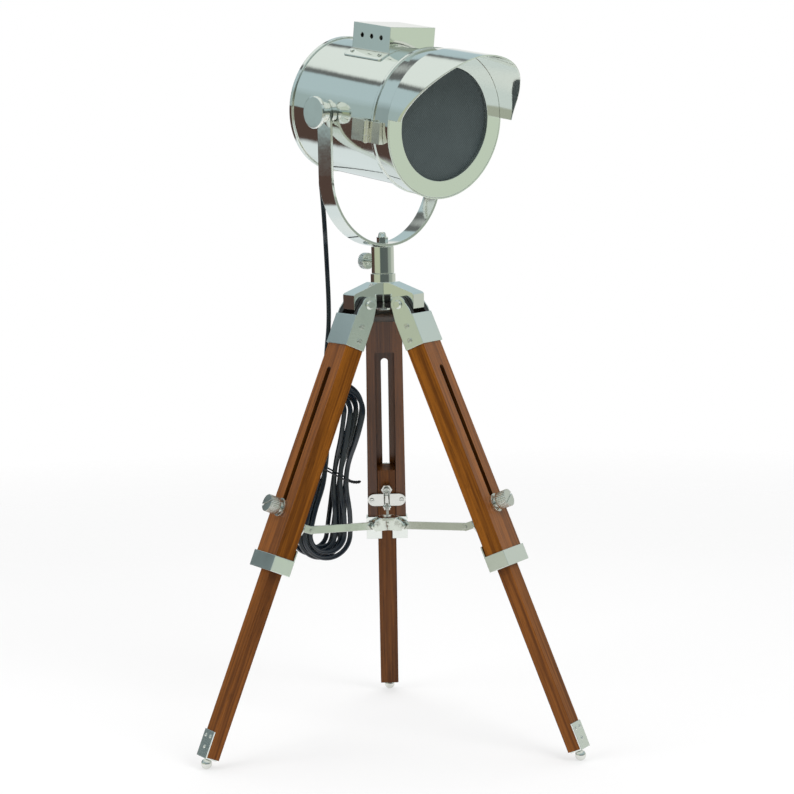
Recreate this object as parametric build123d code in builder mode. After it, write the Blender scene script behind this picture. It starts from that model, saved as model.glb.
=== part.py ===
# Tripod spotlight: a nickel lamp head in a yoke on a folding wooden tripod.
# Millimetres, +Z up, origin on the floor under the tripod's axis.
from build123d import *
from math import asin, atan, cos, dist, pi, radians, sin, tan
import os

os.makedirs("parts", exist_ok=True)

# Fits between pieces
running_fit = 0.06
slide_fit = 0.2
seat_fit = 0.1
free_gap = 0.35

# Tripod: where the legs hinge and how far they splay
hinge_radius = 21.0
hinge_height = 344.0
leg_splay = 23.03
hinge_bolt_radius = 2.0
hinge_bolt_head = 3.6
hinge_bolt_head_height = 2.0
hinge_bolt_head_taper = 25.0
leg_azimuths = {"back": 90.0, "left": 210.0, "right": 330.0}

# Upper leg, measured down the leg from its hinge bolt
leg_width_top = 28.0
leg_width_foot = 31.5
leg_thickness = 15.4
upper_leg_length = 216.0
leg_head = 7.5
leg_head_inset = 0.4
fork_width = 18.0
fork_depth = 15.0
channel_width = 15.4
channel_depth = 11.3
channel_start = 42.5
slot_width = 5.6
slot_top = 56.4
leg_edge_radius = 0.7

# Lower leg, its clamp and its foot
lower_leg_above_clamp = 16.5
clamp_above_end = 48.3
clamp_shank_radius = 2.5
clamp_knob_radius = 6.75
clamp_knob_length = 9.0
clamp_washer_radius = 7.25
clamp_washer_thickness = 2.0
clamp_neck_radius = 4.0
clamp_neck_length = 2.4
knurl_groove = 0.45
knurl_count = 28
knob_slot = 1.3
knob_slot_turn = 25.0
clamp_nut_across = 8.0
clamp_nut_thickness = 3.4
clamp_tip = 1.6
foot_plate_height = 20.0
foot_lip_margin = 3.4
foot_ball_seat = 0.3
foot_stem = 8.0
foot_ball_radius = 4.2
foot_ball_drop = 4.0
foot_neck_radius = 1.8
foot_ball_cup = 3.2

# Sheet fittings on the legs
sheet = 1.0
bracket_bottom = 35.2
bracket_face_top = 11.0
cheek_radius = 6.2
ferrule_height = 12.5
ferrule_ear_height = 21.0
ferrule_ear_width = 11.5
ferrule_corner = 0.3
ferrule_ear_corner = 2.0
ferrule_notch = 8.8
screw_shank_radius = 0.9
screw_head_radius = 1.9
screw_head_height = 0.7
screw_length = 6.0
screw_lift = 0.05
screw_slot = 0.5
screw_overlap = 0.3
screw_inset = 3.4

# Spreader between the legs
spreader_plate_width = 31.0
spreader_plate_height = 11.5
spreader_plate_above_end = 37.4
spreader_plate = 1.2
lug_reach = 14.734
lug_rise = 2.109
arm_height = 6.0
arm_thickness = 2.0
arm_rivet_radius = 1.3
arm_rivet_end = 0.8
arm_eye_radius = 1.8
arm_eye_slack = 0.3
lug_plate_inset = 1.2
lug_slot_clear = 0.6
hub_pivot_radius = 14.0
hub_drop = 2.4
hub_slot_width = 6.0
hub_cheek = 1.5
hub_plate_radius = 8.6
hub_plate_thickness = 2.2
hub_plate_gap = 0.7
hub_fork_start = 2.2
hub_fork_end = 3.4
hub_fork_below = 1.0

# Crown casting and the turning post on its spigot
crown_collar_radius = 9.6
crown_collar_rise = 22.5
crown_arm_width = 17.0
crown_arm_end = 31.0
crown_arm_rise = 8.5
crown_arm_drop = 3.6
crown_arm_wall = 2.6
crown_boss_radius = 4.2
crown_boss_drop = 2.0
crown_chamfer = 1.2
crown_slope_rise = 7.5
crown_pocket_start = 12.0
crown_pocket_depth = 8.0
spigot_radius = 5.0
spigot_height = 15.5
post_radius = 8.7
post_length = 21.1
post_edge = 0.4
yoke_stud_radius = 2.5
pan_screw_rise = 9.0
pan_screw_radius = 2.0
pan_knob_radius = 6.4
pan_knob_at = 17.0
pan_knob_length = 5.5
pan_collar_radius = 3.4
pan_collar_length = 2.0

# Yoke
head_azimuth = -50.06
head_droop = 8.21
yoke_straight = 47.9
yoke_outer_radius = 55.4
yoke_strip = 2.0
yoke_width = 15.5
yoke_nut_height = 9.6
yoke_nut_across = 7.6
yoke_nut_dome_step = 0.5
yoke_nut_dome_drop = 1.0
yoke_nut_dome_taper = 12.0
yoke_nut_dome_round = 1.6
yoke_seat_depth = 1.0

# Lamp head, measured along its axis from the tilt pivot, forward positive
shell = 1.0
drum_radius = 51.5
drum_rear = -44.2
drum_front = 54.6
drum_bead = 1.0
drum_bead_width = 2.4
drum_root = 3.0
cap_back = -45.3
cap_rim_width = 3.4
cap_edge = 0.45
pivot_boss_radius = 9.4
pivot_stud_radius = 3.0
tilt_knob_face = 65.6
tilt_knob_radius = 12.2
tilt_knob_neck = 6.8
tilt_knob_flange = 1.2
tilt_knob_step = 0.4
tilt_knob_waist = 4.0
tilt_knob_rim = 1.6
tilt_knob_edge = 0.8
tilt_knob_wall = 3.0
door_rear = 55.0
door_front = 75.6
door_rear_radius = 54.2
door_front_radius = 56.2
visor_reach = 42.6
visor_half_angle = 86.0
bezel_inner_radius = 42.7
bezel_depth = 7.4
bezel_plate = 1.2
bezel_crimp = 2.5
lens_radius = 48.0
lens_thickness = 2.4
lens_recess = 3.6
vent_width = 44.2
vent_back = -11.4
vent_front = 31.6
vent_top = 67.0
vent_hole_radius = 1.9
vent_hole_pitch = 11.0
vent_hole_height = 58.0
vent_flange = 8.5
vent_mouth = 26.0
vent_mouth_corner = 3.0
vent_hole_count = 3
vent_flange_corner = 2.0
rivet_radius = 1.7
rivet_inset = 5.5
rivet_height = 0.9
rivet_taper = 20.0
rivet_grip = 2.6
holder_radius = 14.0
holder_length = 34.0
holder_flange = 3.0
bulb_cap_radius = 8.5
bulb_radius = 20.0
bulb_length = 40.0
bulb_neck = 4.0
bulb_shoulder_share = 0.9

# Door hinge on the near side and hook catch on the far side
hinge_pin_out = 2.6
hinge_pin_radius = 1.1
knuckle_radius = 2.3
hinge_centre = -7.0
hinge_tall = 16.0
knuckle_share = 3
leaf_thickness = 1.2
leaf_drum_length = 18.0
leaf_door_length = 14.0
leaf_pad_length = 9.0
leaf_overlap = 1.0
leaf_pad_sink = 0.5
hinge_pin_end = 0.6
catch_pivot_at = 42.0
catch_pin_at = 62.0
catch_out = 1.4
catch_thickness = 1.4
catch_pin_radius = 1.6
catch_width = 7.0
catch_post_wall = 1.2
catch_tab_length = 9.0
catch_tab_offset = 6.5
catch_tab_trim = 3.0

# Lead: gland, hanging stretch, tied hank and plug
cord_diameter = 3.8
gland_drop = 30.0
gland_flange_radius = 6.0
gland_flange = 2.2
gland_length = 20.0
gland_root_wall = 2.2
gland_tip_wall = 0.6
gland_angle = 52.0
cord_lead_out = 14.5
cord_lead_in = 12.0
hank_top = (-37.5, 30.0, 258.0)
hank_bottom = (-50.0, 28.0, 158.0)
hank_loops_a_layer = 2
hank_layers = 4
hank_half_width = 12.7
hank_step = 4.7
hank_layer_step = 4.6
hank_draw = 7.0
hank_lead = 6.0
corner_share = 0.45
gap_spacing = 1.5
gap_skip = 25.0
plug_clear = 10.0
plug_drop = 14.0
plug_length = 30.0
plug_width = 19.0
plug_depth = 12.0
plug_neck = 1.2
plug_corner = 2.5
blade_thickness = 1.5
blade_width = 6.3
blade_length = 17.0
blade_pitch = 12.7
tie_wire = 1.4
tie_height = 3.0
tie_tail = 8.0
tie_tail_taper = 2.0
# Route of the hanging stretch between gland and hank, chosen point by point
cord_route = [
    (-45.9, 55.0, 422.0),
    (-44.0, 53.0, 374.0),
    (-42.8, 49.6, 327.0),
    (-46.0, 44.0, 301.0),
]


def write(builder, name):
    """Labels a finished piece and writes it."""
    builder.part.label = name
    export_step(builder.part, f"parts/{name}.step")


def turned(azimuth, radius, height):
    """A point at a distance and bearing from the tripod's axis."""
    return Vector(radius * cos(radians(azimuth)), radius * sin(radians(azimuth)), height)


def leg_half_width(down):
    """Half the upper leg's width at a distance down from its hinge."""
    return (leg_width_top + (leg_width_foot - leg_width_top) * down / upper_leg_length) / 2


splay_sin = sin(radians(leg_splay))
splay_cos = cos(radians(leg_splay))


def leg_front(azimuth):
    """The leg's own plane: x across, y up the leg from its hinge, z outward."""
    out = turned(azimuth, splay_cos, splay_sin)
    hinge = turned(azimuth, hinge_radius, hinge_height)
    return Plane(origin=hinge, x_dir=turned(azimuth + 90, 1, 0), z_dir=out)


def leg_side(azimuth):
    """The plane through the leg's middle: x outward, y down the leg, z across."""
    front = leg_front(azimuth)
    return Plane(origin=front.origin, x_dir=front.z_dir, z_dir=front.x_dir)


def from_leg(out, down):
    """Radius and height of a point given as distance outward and down the leg."""
    radius = hinge_radius + out * splay_cos + down * splay_sin
    return radius, hinge_height + out * splay_sin - down * splay_cos


face = leg_thickness / 2
clamp_at = upper_leg_length - clamp_above_end
lower_leg_start = clamp_at - lower_leg_above_clamp
spreader_plate_at = upper_leg_length - spreader_plate_above_end
lug_out = -face - lug_reach
lug_down = spreader_plate_at - lug_rise
lug_radius, lug_height = from_leg(lug_out, lug_down)
hub_height = lug_height - hub_drop
crown_arm_top = hinge_height + crown_arm_rise
crown_arm_bottom = hinge_height - crown_arm_drop
crown_boss_bottom = crown_arm_bottom - crown_boss_drop
crown_slope_top = crown_arm_top + crown_slope_rise
crown_collar_top = hinge_height + crown_collar_rise
post_top = crown_collar_top + post_length
pan_screw_height = crown_collar_top + pan_screw_rise
yoke_bend_height = post_top + yoke_outer_radius
pivot_height = yoke_bend_height + yoke_straight
hinge_pin_side = door_front_radius + hinge_pin_out
catch_side = door_front_radius + catch_out
channel_floor = channel_depth - face
lower_in = slide_fit - face
lower_out = channel_floor - slide_fit
lower_middle = (lower_in + lower_out) / 2
lower_width = channel_width - 2 * slide_fit
ball_down = (hinge_height - foot_ball_drop + lower_middle * splay_sin) / splay_cos
lower_leg_end = ball_down - foot_ball_radius - sheet + foot_ball_seat
leg_screw_downs = (18.0, 29.0)


def leg_end(azimuth, down):
    """A plane square across the lower leg, facing down it."""
    side = leg_side(azimuth)
    centre = side.from_local_coords((lower_middle, down, 0))
    return Plane(origin=centre, x_dir=side.z_dir, z_dir=side.y_dir)


def leg_screw_places():
    """Cheek screws on one side of the leg: outward and down."""
    return [(0.5, leg_screw_downs[0]), (-1.5, leg_screw_downs[1])]


def build_upper_leg(tag, azimuth):
    """The wooden upper leg: fork cut to the cheeks' outline, channel and through slot below."""
    front = leg_front(azimuth)
    side = leg_side(azimuth)
    with BuildPart() as upper_leg:
        with BuildSketch(front.offset(-face)):
            with BuildLine():
                head = leg_half_width(-leg_head)
                foot = leg_half_width(upper_leg_length)
                Polyline(
                    (-head, leg_head), (head, leg_head), (foot, -upper_leg_length),
                    (-foot, -upper_leg_length), close=True,
                )
            make_face()
        extrude(amount=leg_thickness)
        long_edges = upper_leg.edges().filter_by(lambda edge: edge.length > upper_leg_length)
        fillet(long_edges, leg_edge_radius)
        with BuildSketch(side):
            with Locations((0, bracket_face_top / 2 - leg_head)):
                Rectangle(2 * leg_thickness, bracket_face_top + 2 * leg_head)
            cheek = cheek_radius - leg_head_inset
            with BuildLine():
                Polyline(
                    (-face, bracket_face_top), (-cheek, 0), (cheek, 0), (face, bracket_face_top),
                    close=True,
                )
            make_face(mode=Mode.SUBTRACT)
            Circle(cheek, mode=Mode.SUBTRACT)
        extrude(amount=leg_width_foot, both=True, mode=Mode.SUBTRACT)
        with BuildSketch(front.offset(-face)):
            with Locations((0, (leg_head - fork_depth) / 2)):
                Rectangle(fork_width, leg_head + fork_depth)
        extrude(amount=leg_thickness, mode=Mode.SUBTRACT)
        with BuildSketch(front.offset(-face)):
            with Locations((0, -(channel_start + upper_leg_length) / 2)):
                Rectangle(channel_width, upper_leg_length - channel_start)
        extrude(amount=channel_depth, mode=Mode.SUBTRACT)
        with BuildSketch(front.offset(channel_floor)):
            with Locations((0, -(slot_top + clamp_at) / 2)):
                SlotCenterToCenter(clamp_at - slot_top, slot_width, rotation=90)
        extrude(amount=leg_thickness - channel_depth, mode=Mode.SUBTRACT)
        with BuildSketch(side):
            Circle(hinge_bolt_radius + running_fit)
        extrude(amount=leg_width_top, both=True, mode=Mode.SUBTRACT)
        for sign in (-1, 1):
            with BuildSketch(side.offset(sign * (leg_half_width(leg_screw_downs[0]) - screw_length))):
                with Locations(*leg_screw_places()):
                    Circle(screw_shank_radius)
            extrude(amount=sign * leg_width_top, mode=Mode.SUBTRACT)
        with BuildSketch(front.offset(-face)):
            with Locations(*inner_screw_places()):
                Circle(screw_shank_radius)
        extrude(amount=screw_length, mode=Mode.SUBTRACT)
    write(upper_leg, f"upper_leg_{tag}")


def inner_screw_places():
    """Screws on the leg's inner face: spreader plate, then the ferrule's ears."""
    plate_x = spreader_plate_width / 2 - screw_inset
    ear_x = leg_half_width(upper_leg_length) - screw_inset
    ear_y = upper_leg_length - ferrule_height - screw_inset
    spots = []
    for sign in (-1, 1):
        spots.append((sign * plate_x, -spreader_plate_at))
        spots.append((sign * ear_x, -ear_y))
    return spots


def build_top_bracket(tag, azimuth):
    """Sheet bracket round the leg's top: outer face and two hinge cheeks."""
    front = leg_front(azimuth)
    side = leg_side(azimuth)
    inner_edge = -face
    outer_edge = face + seat_fit + sheet
    with BuildPart() as bracket:
        with BuildSketch(side):
            with BuildLine():
                Polyline(
                    (inner_edge, bracket_bottom), (outer_edge, bracket_bottom),
                    (outer_edge, bracket_face_top), (cheek_radius, sheet),
                    (-cheek_radius, sheet), (inner_edge, bracket_face_top), close=True,
                )
            make_face()
            Circle(cheek_radius)
        extrude(amount=leg_width_foot, both=True)
        with BuildSketch(front.offset(-2 * leg_thickness)):
            with BuildLine():
                reach = sheet + seat_fit
                top = leg_half_width(-leg_head) + reach
                low = leg_half_width(bracket_bottom) + reach
                Polyline(
                    (-top, leg_head), (top, leg_head), (low, -bracket_bottom),
                    (-low, -bracket_bottom), close=True,
                )
            make_face()
        extrude(amount=4 * leg_thickness, mode=Mode.INTERSECT)
        with BuildSketch(front.offset(-2 * leg_thickness)):
            with BuildLine():
                top = leg_half_width(-leg_head) + seat_fit
                low = leg_half_width(bracket_bottom) + seat_fit
                Polyline(
                    (-top, leg_head), (top, leg_head), (low, -bracket_bottom),
                    (-low, -bracket_bottom), close=True,
                )
            make_face()
        extrude(amount=2 * leg_thickness + face + seat_fit, mode=Mode.SUBTRACT)
        with BuildSketch(front.offset(face)):
            with Locations((0, 0)):
                Rectangle(leg_width_top + 4 * sheet, 2 * bracket_face_top)
        extrude(amount=leg_thickness, mode=Mode.SUBTRACT)
        with BuildSketch(side):
            Circle(hinge_bolt_radius + running_fit)
            with Locations(*leg_screw_places()):
                Circle(screw_shank_radius + seat_fit)
        extrude(amount=leg_width_foot, both=True, mode=Mode.SUBTRACT)
    write(bracket, f"top_bracket_{tag}")


def build_ferrule(tag, azimuth):
    """Sheet band round the upper leg's lower end, with two ears inside."""
    front = leg_front(azimuth)
    half = leg_half_width(upper_leg_length) + seat_fit
    with BuildPart() as ferrule:
        with BuildSketch(front.offset(-face - seat_fit - sheet)):
            with Locations((0, ferrule_height / 2 - upper_leg_length)):
                RectangleRounded(2 * (half + sheet), ferrule_height, ferrule_corner)
        extrude(amount=leg_thickness + 2 * (seat_fit + sheet))
        with BuildSketch(front.offset(-face - seat_fit - sheet)):
            ear_x = half + sheet - ferrule_ear_width / 2
            ear_y = ferrule_ear_height / 2 - upper_leg_length
            with Locations((ear_x, ear_y), (-ear_x, ear_y)):
                RectangleRounded(ferrule_ear_width, ferrule_ear_height, ferrule_ear_corner)
        extrude(amount=sheet)
        with BuildSketch(front.offset(-face - seat_fit)):
            with Locations((0, -upper_leg_length)):
                Rectangle(2 * half, 2 * ferrule_ear_height)
        extrude(amount=leg_thickness + 2 * seat_fit, mode=Mode.SUBTRACT)
        with BuildSketch(front.offset(-face - seat_fit - sheet)):
            with Locations((0, -upper_leg_length)):
                Rectangle(ferrule_notch, 2 * ferrule_ear_height)
        extrude(amount=sheet, mode=Mode.SUBTRACT)
        with BuildSketch(front.offset(-2 * face)):
            with Locations(*inner_screw_places()):
                Circle(screw_shank_radius + seat_fit)
        extrude(amount=face, mode=Mode.SUBTRACT)
    write(ferrule, f"ferrule_{tag}")


def build_spreader_bracket(tag, azimuth):
    """Rounded plate across the channel with a forked lug for the arm."""
    front = leg_front(azimuth)
    side = leg_side(azimuth)
    lug_gap = arm_thickness + 2 * free_gap
    with BuildPart() as bracket:
        with BuildSketch(front.offset(-face)):
            with Locations((0, -spreader_plate_at)):
                SlotOverall(spreader_plate_width, spreader_plate_height)
            with Locations(*inner_screw_places()):
                Circle(screw_shank_radius + seat_fit, mode=Mode.SUBTRACT)
        extrude(amount=-spreader_plate)
        with BuildSketch(side):
            with BuildLine():
                half = arm_height / 2
                plate_in = -face - spreader_plate / 2
                top = spreader_plate_at - spreader_plate_height / 2 + lug_plate_inset
                Polyline(
                    (plate_in, top), (plate_in, top + arm_height), (lug_out, lug_down + half),
                    (lug_out - half, lug_down), (lug_out, lug_down - half), close=True,
                )
            make_face()
            with Locations((lug_out, lug_down)):
                Circle(half)
        extrude(amount=lug_gap / 2 + sheet, both=True)
        with BuildSketch(side):
            with Locations((lug_out, lug_down)):
                Circle(arm_rivet_radius + running_fit)
            with BuildLine():
                wide = arm_height
                slot_end = -face - spreader_plate - lug_slot_clear
                Polyline(
                    (slot_end, lug_down - wide), (slot_end, top + 2 * wide),
                    (lug_out - wide, lug_down + wide), (lug_out - wide, lug_down - wide), close=True,
                )
            make_face()
        extrude(amount=lug_gap / 2, both=True, mode=Mode.SUBTRACT)
        with BuildSketch(side):
            with Locations((lug_out, lug_down)):
                Circle(arm_rivet_radius + running_fit)
        extrude(amount=arm_height, both=True, mode=Mode.SUBTRACT)
    write(bracket, f"spreader_bracket_{tag}")


def build_spreader_arm(tag, azimuth):
    """Blade from the leg's lug to the hub, with its rivets."""
    radial = Plane(origin=(0, 0, 0), x_dir=turned(azimuth, 1, 0), z_dir=turned(azimuth - 90, 1, 0))
    lug_gap = arm_thickness + 2 * free_gap
    lug_rivet = lug_gap + 2 * sheet + 2 * arm_rivet_end
    hub_rivet = hub_slot_width - 2 * free_gap - arm_eye_slack
    with BuildPart() as arm:
        with BuildSketch(radial):
            with Locations((lug_radius, lug_height), (hub_pivot_radius, hub_height)):
                Circle(arm_height / 2)
            with BuildLine():
                along = Vector(hub_pivot_radius - lug_radius, hub_height - lug_height).normalized()
                rise = Vector(-along.Y, along.X) * (arm_height / 2)
                outer = Vector(lug_radius, lug_height)
                inner = Vector(hub_pivot_radius, hub_height)
                Polyline(outer + rise, inner + rise, inner - rise, outer - rise, close=True)
            make_face()
        extrude(amount=arm_thickness / 2, both=True)
        with BuildSketch(radial):
            with Locations((lug_radius, lug_height)):
                Circle(arm_rivet_radius)
        extrude(amount=lug_rivet / 2, both=True)
        with BuildSketch(radial):
            with Locations((hub_pivot_radius, hub_height)):
                Circle(arm_eye_radius)
        extrude(amount=hub_rivet / 2, both=True)
    write(arm, f"spreader_arm_{tag}")


def build_leg_screws(tag, azimuth):
    """All wood screws of one upper leg, as separate solids."""
    front = leg_front(azimuth)
    side = leg_side(azimuth)
    reach = seat_fit + sheet
    with BuildPart() as screws:
        for sign in (-1, 1):
            for out, down in leg_screw_places():
                seat = leg_half_width(down) + reach
                head = side.offset(sign * (seat + screw_lift))
                with BuildSketch(head):
                    with Locations((out, down)):
                        Circle(screw_head_radius)
                        Rectangle(2 * screw_head_radius, screw_slot, mode=Mode.SUBTRACT)
                extrude(amount=sign * screw_head_height)
                with BuildSketch(side.offset(sign * (seat + screw_lift + screw_overlap))):
                    with Locations((out, down)):
                        Circle(screw_shank_radius - running_fit)
                extrude(amount=-sign * (screw_length - screw_overlap))
        for index, (across, up) in enumerate(inner_screw_places()):
            lift = spreader_plate if index % 2 == 0 else seat_fit + sheet
            with BuildSketch(front.offset(-face - lift - screw_lift)):
                with Locations((across, up)):
                    Circle(screw_head_radius)
                    Rectangle(2 * screw_head_radius, screw_slot, mode=Mode.SUBTRACT)
            extrude(amount=-screw_head_height)
            with BuildSketch(front.offset(-face - lift - screw_lift - screw_overlap)):
                with Locations((across, up)):
                    Circle(screw_shank_radius - running_fit)
            extrude(amount=screw_length)
    write(screws, f"leg_screws_{tag}")


def build_lower_leg(tag, azimuth):
    """The wooden leg that slides in the channel."""
    front = leg_front(azimuth)
    length = lower_leg_end - lower_leg_start
    with BuildPart() as lower_leg:
        with BuildSketch(front.offset(lower_in)):
            with Locations((0, -(lower_leg_start + lower_leg_end) / 2)):
                Rectangle(lower_width, length)
        extrude(amount=lower_out - lower_in)
        long_edges = lower_leg.edges().filter_by(lambda edge: edge.length > length / 2)
        fillet(long_edges, leg_edge_radius)
        with BuildSketch(front.offset(lower_in)):
            with Locations((0, -clamp_at)):
                Circle(clamp_shank_radius + running_fit)
        extrude(amount=leg_thickness, mode=Mode.SUBTRACT)
        with BuildSketch(leg_end(azimuth, lower_leg_end)):
            Circle(foot_neck_radius + running_fit)
        extrude(amount=-foot_stem - seat_fit, mode=Mode.SUBTRACT)
    write(lower_leg, f"lower_leg_{tag}")


def knurled(radius, groove, count):
    """Sketch of a knob's round outline with grooves along it."""
    Circle(radius)
    with PolarLocations(radius, count):
        Circle(groove, mode=Mode.SUBTRACT)


def build_clamp(tag, azimuth):
    """Thumbscrew through the slot and lower leg, and the nut that it pulls on."""
    front = leg_front(azimuth)
    washer = face + seat_fit
    knob = washer + clamp_washer_thickness + clamp_neck_length
    tip = lower_in - clamp_nut_thickness - clamp_tip
    with BuildPart() as clamp:
        with BuildSketch(front.offset(tip)):
            with Locations((0, -clamp_at)):
                Circle(clamp_shank_radius)
        extrude(amount=knob - tip)
        with BuildSketch(front.offset(washer)):
            with Locations((0, -clamp_at)):
                Circle(clamp_washer_radius)
        extrude(amount=clamp_washer_thickness)
        with BuildSketch(front.offset(washer + clamp_washer_thickness)):
            with Locations((0, -clamp_at)):
                Circle(clamp_neck_radius)
        extrude(amount=clamp_neck_length)
        with BuildSketch(front.offset(knob)):
            with Locations((0, -clamp_at)):
                knurled(clamp_knob_radius, knurl_groove, knurl_count)
        extrude(amount=clamp_knob_length)
        with BuildSketch(front.offset(knob + clamp_knob_length)):
            with Locations((0, -clamp_at)):
                Rectangle(3 * clamp_knob_radius, knob_slot, rotation=knob_slot_turn)
        extrude(amount=-knob_slot, mode=Mode.SUBTRACT)
    write(clamp, f"clamp_screw_{tag}")
    with BuildPart() as nut:
        with BuildSketch(front.offset(lower_in)):
            with Locations((0, -clamp_at)):
                RegularPolygon(clamp_nut_across / 2, 6, major_radius=False)
                Circle(clamp_shank_radius + running_fit, mode=Mode.SUBTRACT)
        extrude(amount=-clamp_nut_thickness)
    write(nut, f"clamp_nut_{tag}")


def build_foot(tag, azimuth):
    """Angle plate on the lower leg's end and the steel ball under it."""
    side = leg_side(azimuth)
    plate_out = lower_out + seat_fit + sheet
    lip_in = lower_middle - foot_lip_margin
    with BuildPart() as plate:
        with BuildSketch(side):
            with BuildLine():
                plate_top = lower_leg_end - foot_plate_height
                Polyline(
                    (plate_out - sheet, plate_top), (plate_out, plate_top),
                    (plate_out, lower_leg_end + sheet), (lip_in, lower_leg_end + sheet),
                    (lip_in, lower_leg_end), (plate_out - sheet, lower_leg_end), close=True,
                )
            make_face()
        extrude(amount=lower_width / 2, both=True)
        with BuildSketch(leg_end(azimuth, lower_leg_end - sheet)):
            Circle(foot_neck_radius + running_fit)
        extrude(amount=3 * sheet, mode=Mode.SUBTRACT)
        with BuildSketch(leg_end(azimuth, ball_down)):
            Circle(foot_ball_cup)
        extrude(amount=-foot_ball_radius - running_fit, mode=Mode.SUBTRACT)
    write(plate, f"foot_plate_{tag}")
    with BuildPart() as ball:
        with Locations(leg_end(azimuth, ball_down).origin):
            Sphere(foot_ball_radius)
        with BuildSketch(leg_end(azimuth, ball_down)):
            Circle(foot_neck_radius)
        extrude(amount=lower_leg_end - foot_stem - ball_down)
        split(bisect_by=Plane.XY, keep=Keep.TOP)
    write(ball, f"ball_foot_{tag}")


for leg_tag, leg_azimuth in leg_azimuths.items():
    build_upper_leg(leg_tag, leg_azimuth)
    build_top_bracket(leg_tag, leg_azimuth)
    build_ferrule(leg_tag, leg_azimuth)
    build_spreader_bracket(leg_tag, leg_azimuth)
    build_spreader_arm(leg_tag, leg_azimuth)
    build_leg_screws(leg_tag, leg_azimuth)
    build_lower_leg(leg_tag, leg_azimuth)
    build_clamp(leg_tag, leg_azimuth)
    build_foot(leg_tag, leg_azimuth)


def radial_plane(azimuth):
    """Upright plane through the tripod's axis: x outward, y up."""
    return Plane(origin=(0, 0, 0), x_dir=turned(azimuth, 1, 0), z_dir=turned(azimuth - 90, 1, 0))


# Spreader hub: three open forks under one small plate
with BuildPart() as hub:
    fork_bottom = hub_height - arm_height / 2 - hub_fork_below
    plate_bottom = hub_height + arm_height / 2 + hub_plate_gap
    with BuildSketch(Plane.XY.offset(plate_bottom)):
        Circle(hub_plate_radius)
    extrude(amount=hub_plate_thickness)
    for leg_azimuth in leg_azimuths.values():
        for sign in (-1, 1):
            inner = sign * hub_slot_width / 2
            with BuildSketch(radial_plane(leg_azimuth).offset(inner)):
                with BuildLine():
                    Polyline(
                        (hub_fork_start, fork_bottom), (hub_pivot_radius, fork_bottom),
                        (hub_pivot_radius + hub_fork_end, hub_height), (hub_pivot_radius, plate_bottom),
                        (hub_plate_radius, plate_bottom + hub_plate_thickness),
                        (hub_fork_start, plate_bottom + hub_plate_thickness), close=True,
                    )
                make_face()
            extrude(amount=sign * hub_cheek)
            with BuildSketch(radial_plane(leg_azimuth).offset(inner + sign * hub_cheek)):
                with Locations((hub_pivot_radius, hub_height)):
                    Circle(arm_eye_radius)
            extrude(amount=sign * arm_rivet_end)
write(hub, "spreader_hub")

# Crown: collar with spigot, three hollow arms and a boss underneath
with BuildPart() as crown:
    with BuildSketch(Plane.XY.offset(crown_boss_bottom)):
        RegularPolygon(crown_boss_radius, 6, major_radius=False)
    extrude(amount=crown_arm_bottom - crown_boss_bottom + crown_arm_wall)
    for leg_azimuth in leg_azimuths.values():
        with BuildSketch(radial_plane(leg_azimuth)):
            with BuildLine():
                Polyline(
                    (0, crown_arm_bottom), (crown_arm_end, crown_arm_bottom),
                    (crown_arm_end, crown_arm_top - crown_chamfer),
                    (crown_arm_end - crown_chamfer, crown_arm_top),
                    (crown_collar_radius, crown_slope_top), (0, crown_slope_top), close=True,
                )
            make_face()
        extrude(amount=crown_arm_width / 2, both=True)
    with BuildSketch(Plane.XY.offset(crown_arm_bottom)):
        Circle(crown_collar_radius)
    extrude(amount=crown_collar_top - crown_arm_bottom)
    for leg_azimuth in leg_azimuths.values():
        pocket_length = crown_arm_end - crown_arm_wall - crown_pocket_start
        pocket = Plane(
            origin=turned(leg_azimuth, crown_pocket_start + pocket_length / 2, crown_arm_bottom),
            x_dir=turned(leg_azimuth, 1, 0), z_dir=(0, 0, 1),
        )
        with BuildSketch(pocket):
            Rectangle(pocket_length, crown_arm_width - 2 * crown_arm_wall)
        extrude(amount=crown_pocket_depth, mode=Mode.SUBTRACT)
        with BuildSketch(radial_plane(leg_azimuth)):
            with Locations((hinge_radius, hinge_height)):
                Circle(hinge_bolt_radius + running_fit)
        extrude(amount=crown_arm_width, both=True, mode=Mode.SUBTRACT)
    with BuildSketch(Plane.XY.offset(crown_collar_top)):
        Circle(spigot_radius)
    extrude(amount=spigot_height)
write(crown, "crown")

# Hinge bolts of the three legs, headed at both ends
with BuildPart() as hinge_bolts:
    bolt_half = leg_half_width(0) + seat_fit + sheet + free_gap
    for leg_azimuth in leg_azimuths.values():
        bolt_plane = leg_side(leg_azimuth)
        with BuildSketch(bolt_plane):
            Circle(hinge_bolt_radius)
        extrude(amount=bolt_half, both=True)
        for sign in (-1, 1):
            with BuildSketch(bolt_plane.offset(sign * bolt_half)):
                Circle(hinge_bolt_head)
            extrude(amount=sign * hinge_bolt_head_height, taper=hinge_bolt_head_taper)
write(hinge_bolts, "leg_hinge_bolts")

# Head bearings: its axis on plan, its sideways direction and its drooped axes
facing = turned(head_azimuth, 1, 0)
sideways = turned(head_azimuth + 90, 1, 0)
pivot = Vector(0, 0, pivot_height)
ahead = facing * cos(radians(head_droop)) - Vector(0, 0, sin(radians(head_droop)))
above = facing * sin(radians(head_droop)) + Vector(0, 0, cos(radians(head_droop)))
head_axis = Axis(pivot, ahead)
head_section = Plane(origin=pivot, x_dir=ahead, z_dir=sideways * -1)


def head_point(forward, left, up):
    """A point of the lamp head in the room."""
    return pivot + ahead * forward + sideways * left + above * up


def across_head(forward):
    """Plane square to the head's axis: x sideways, y up."""
    return Plane(origin=head_point(forward, 0, 0), x_dir=sideways, z_dir=ahead)


def above_head(up):
    """Plane level with the head's axis: x forward, y sideways."""
    return Plane(origin=head_point(0, 0, up), x_dir=ahead, z_dir=above)


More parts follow.
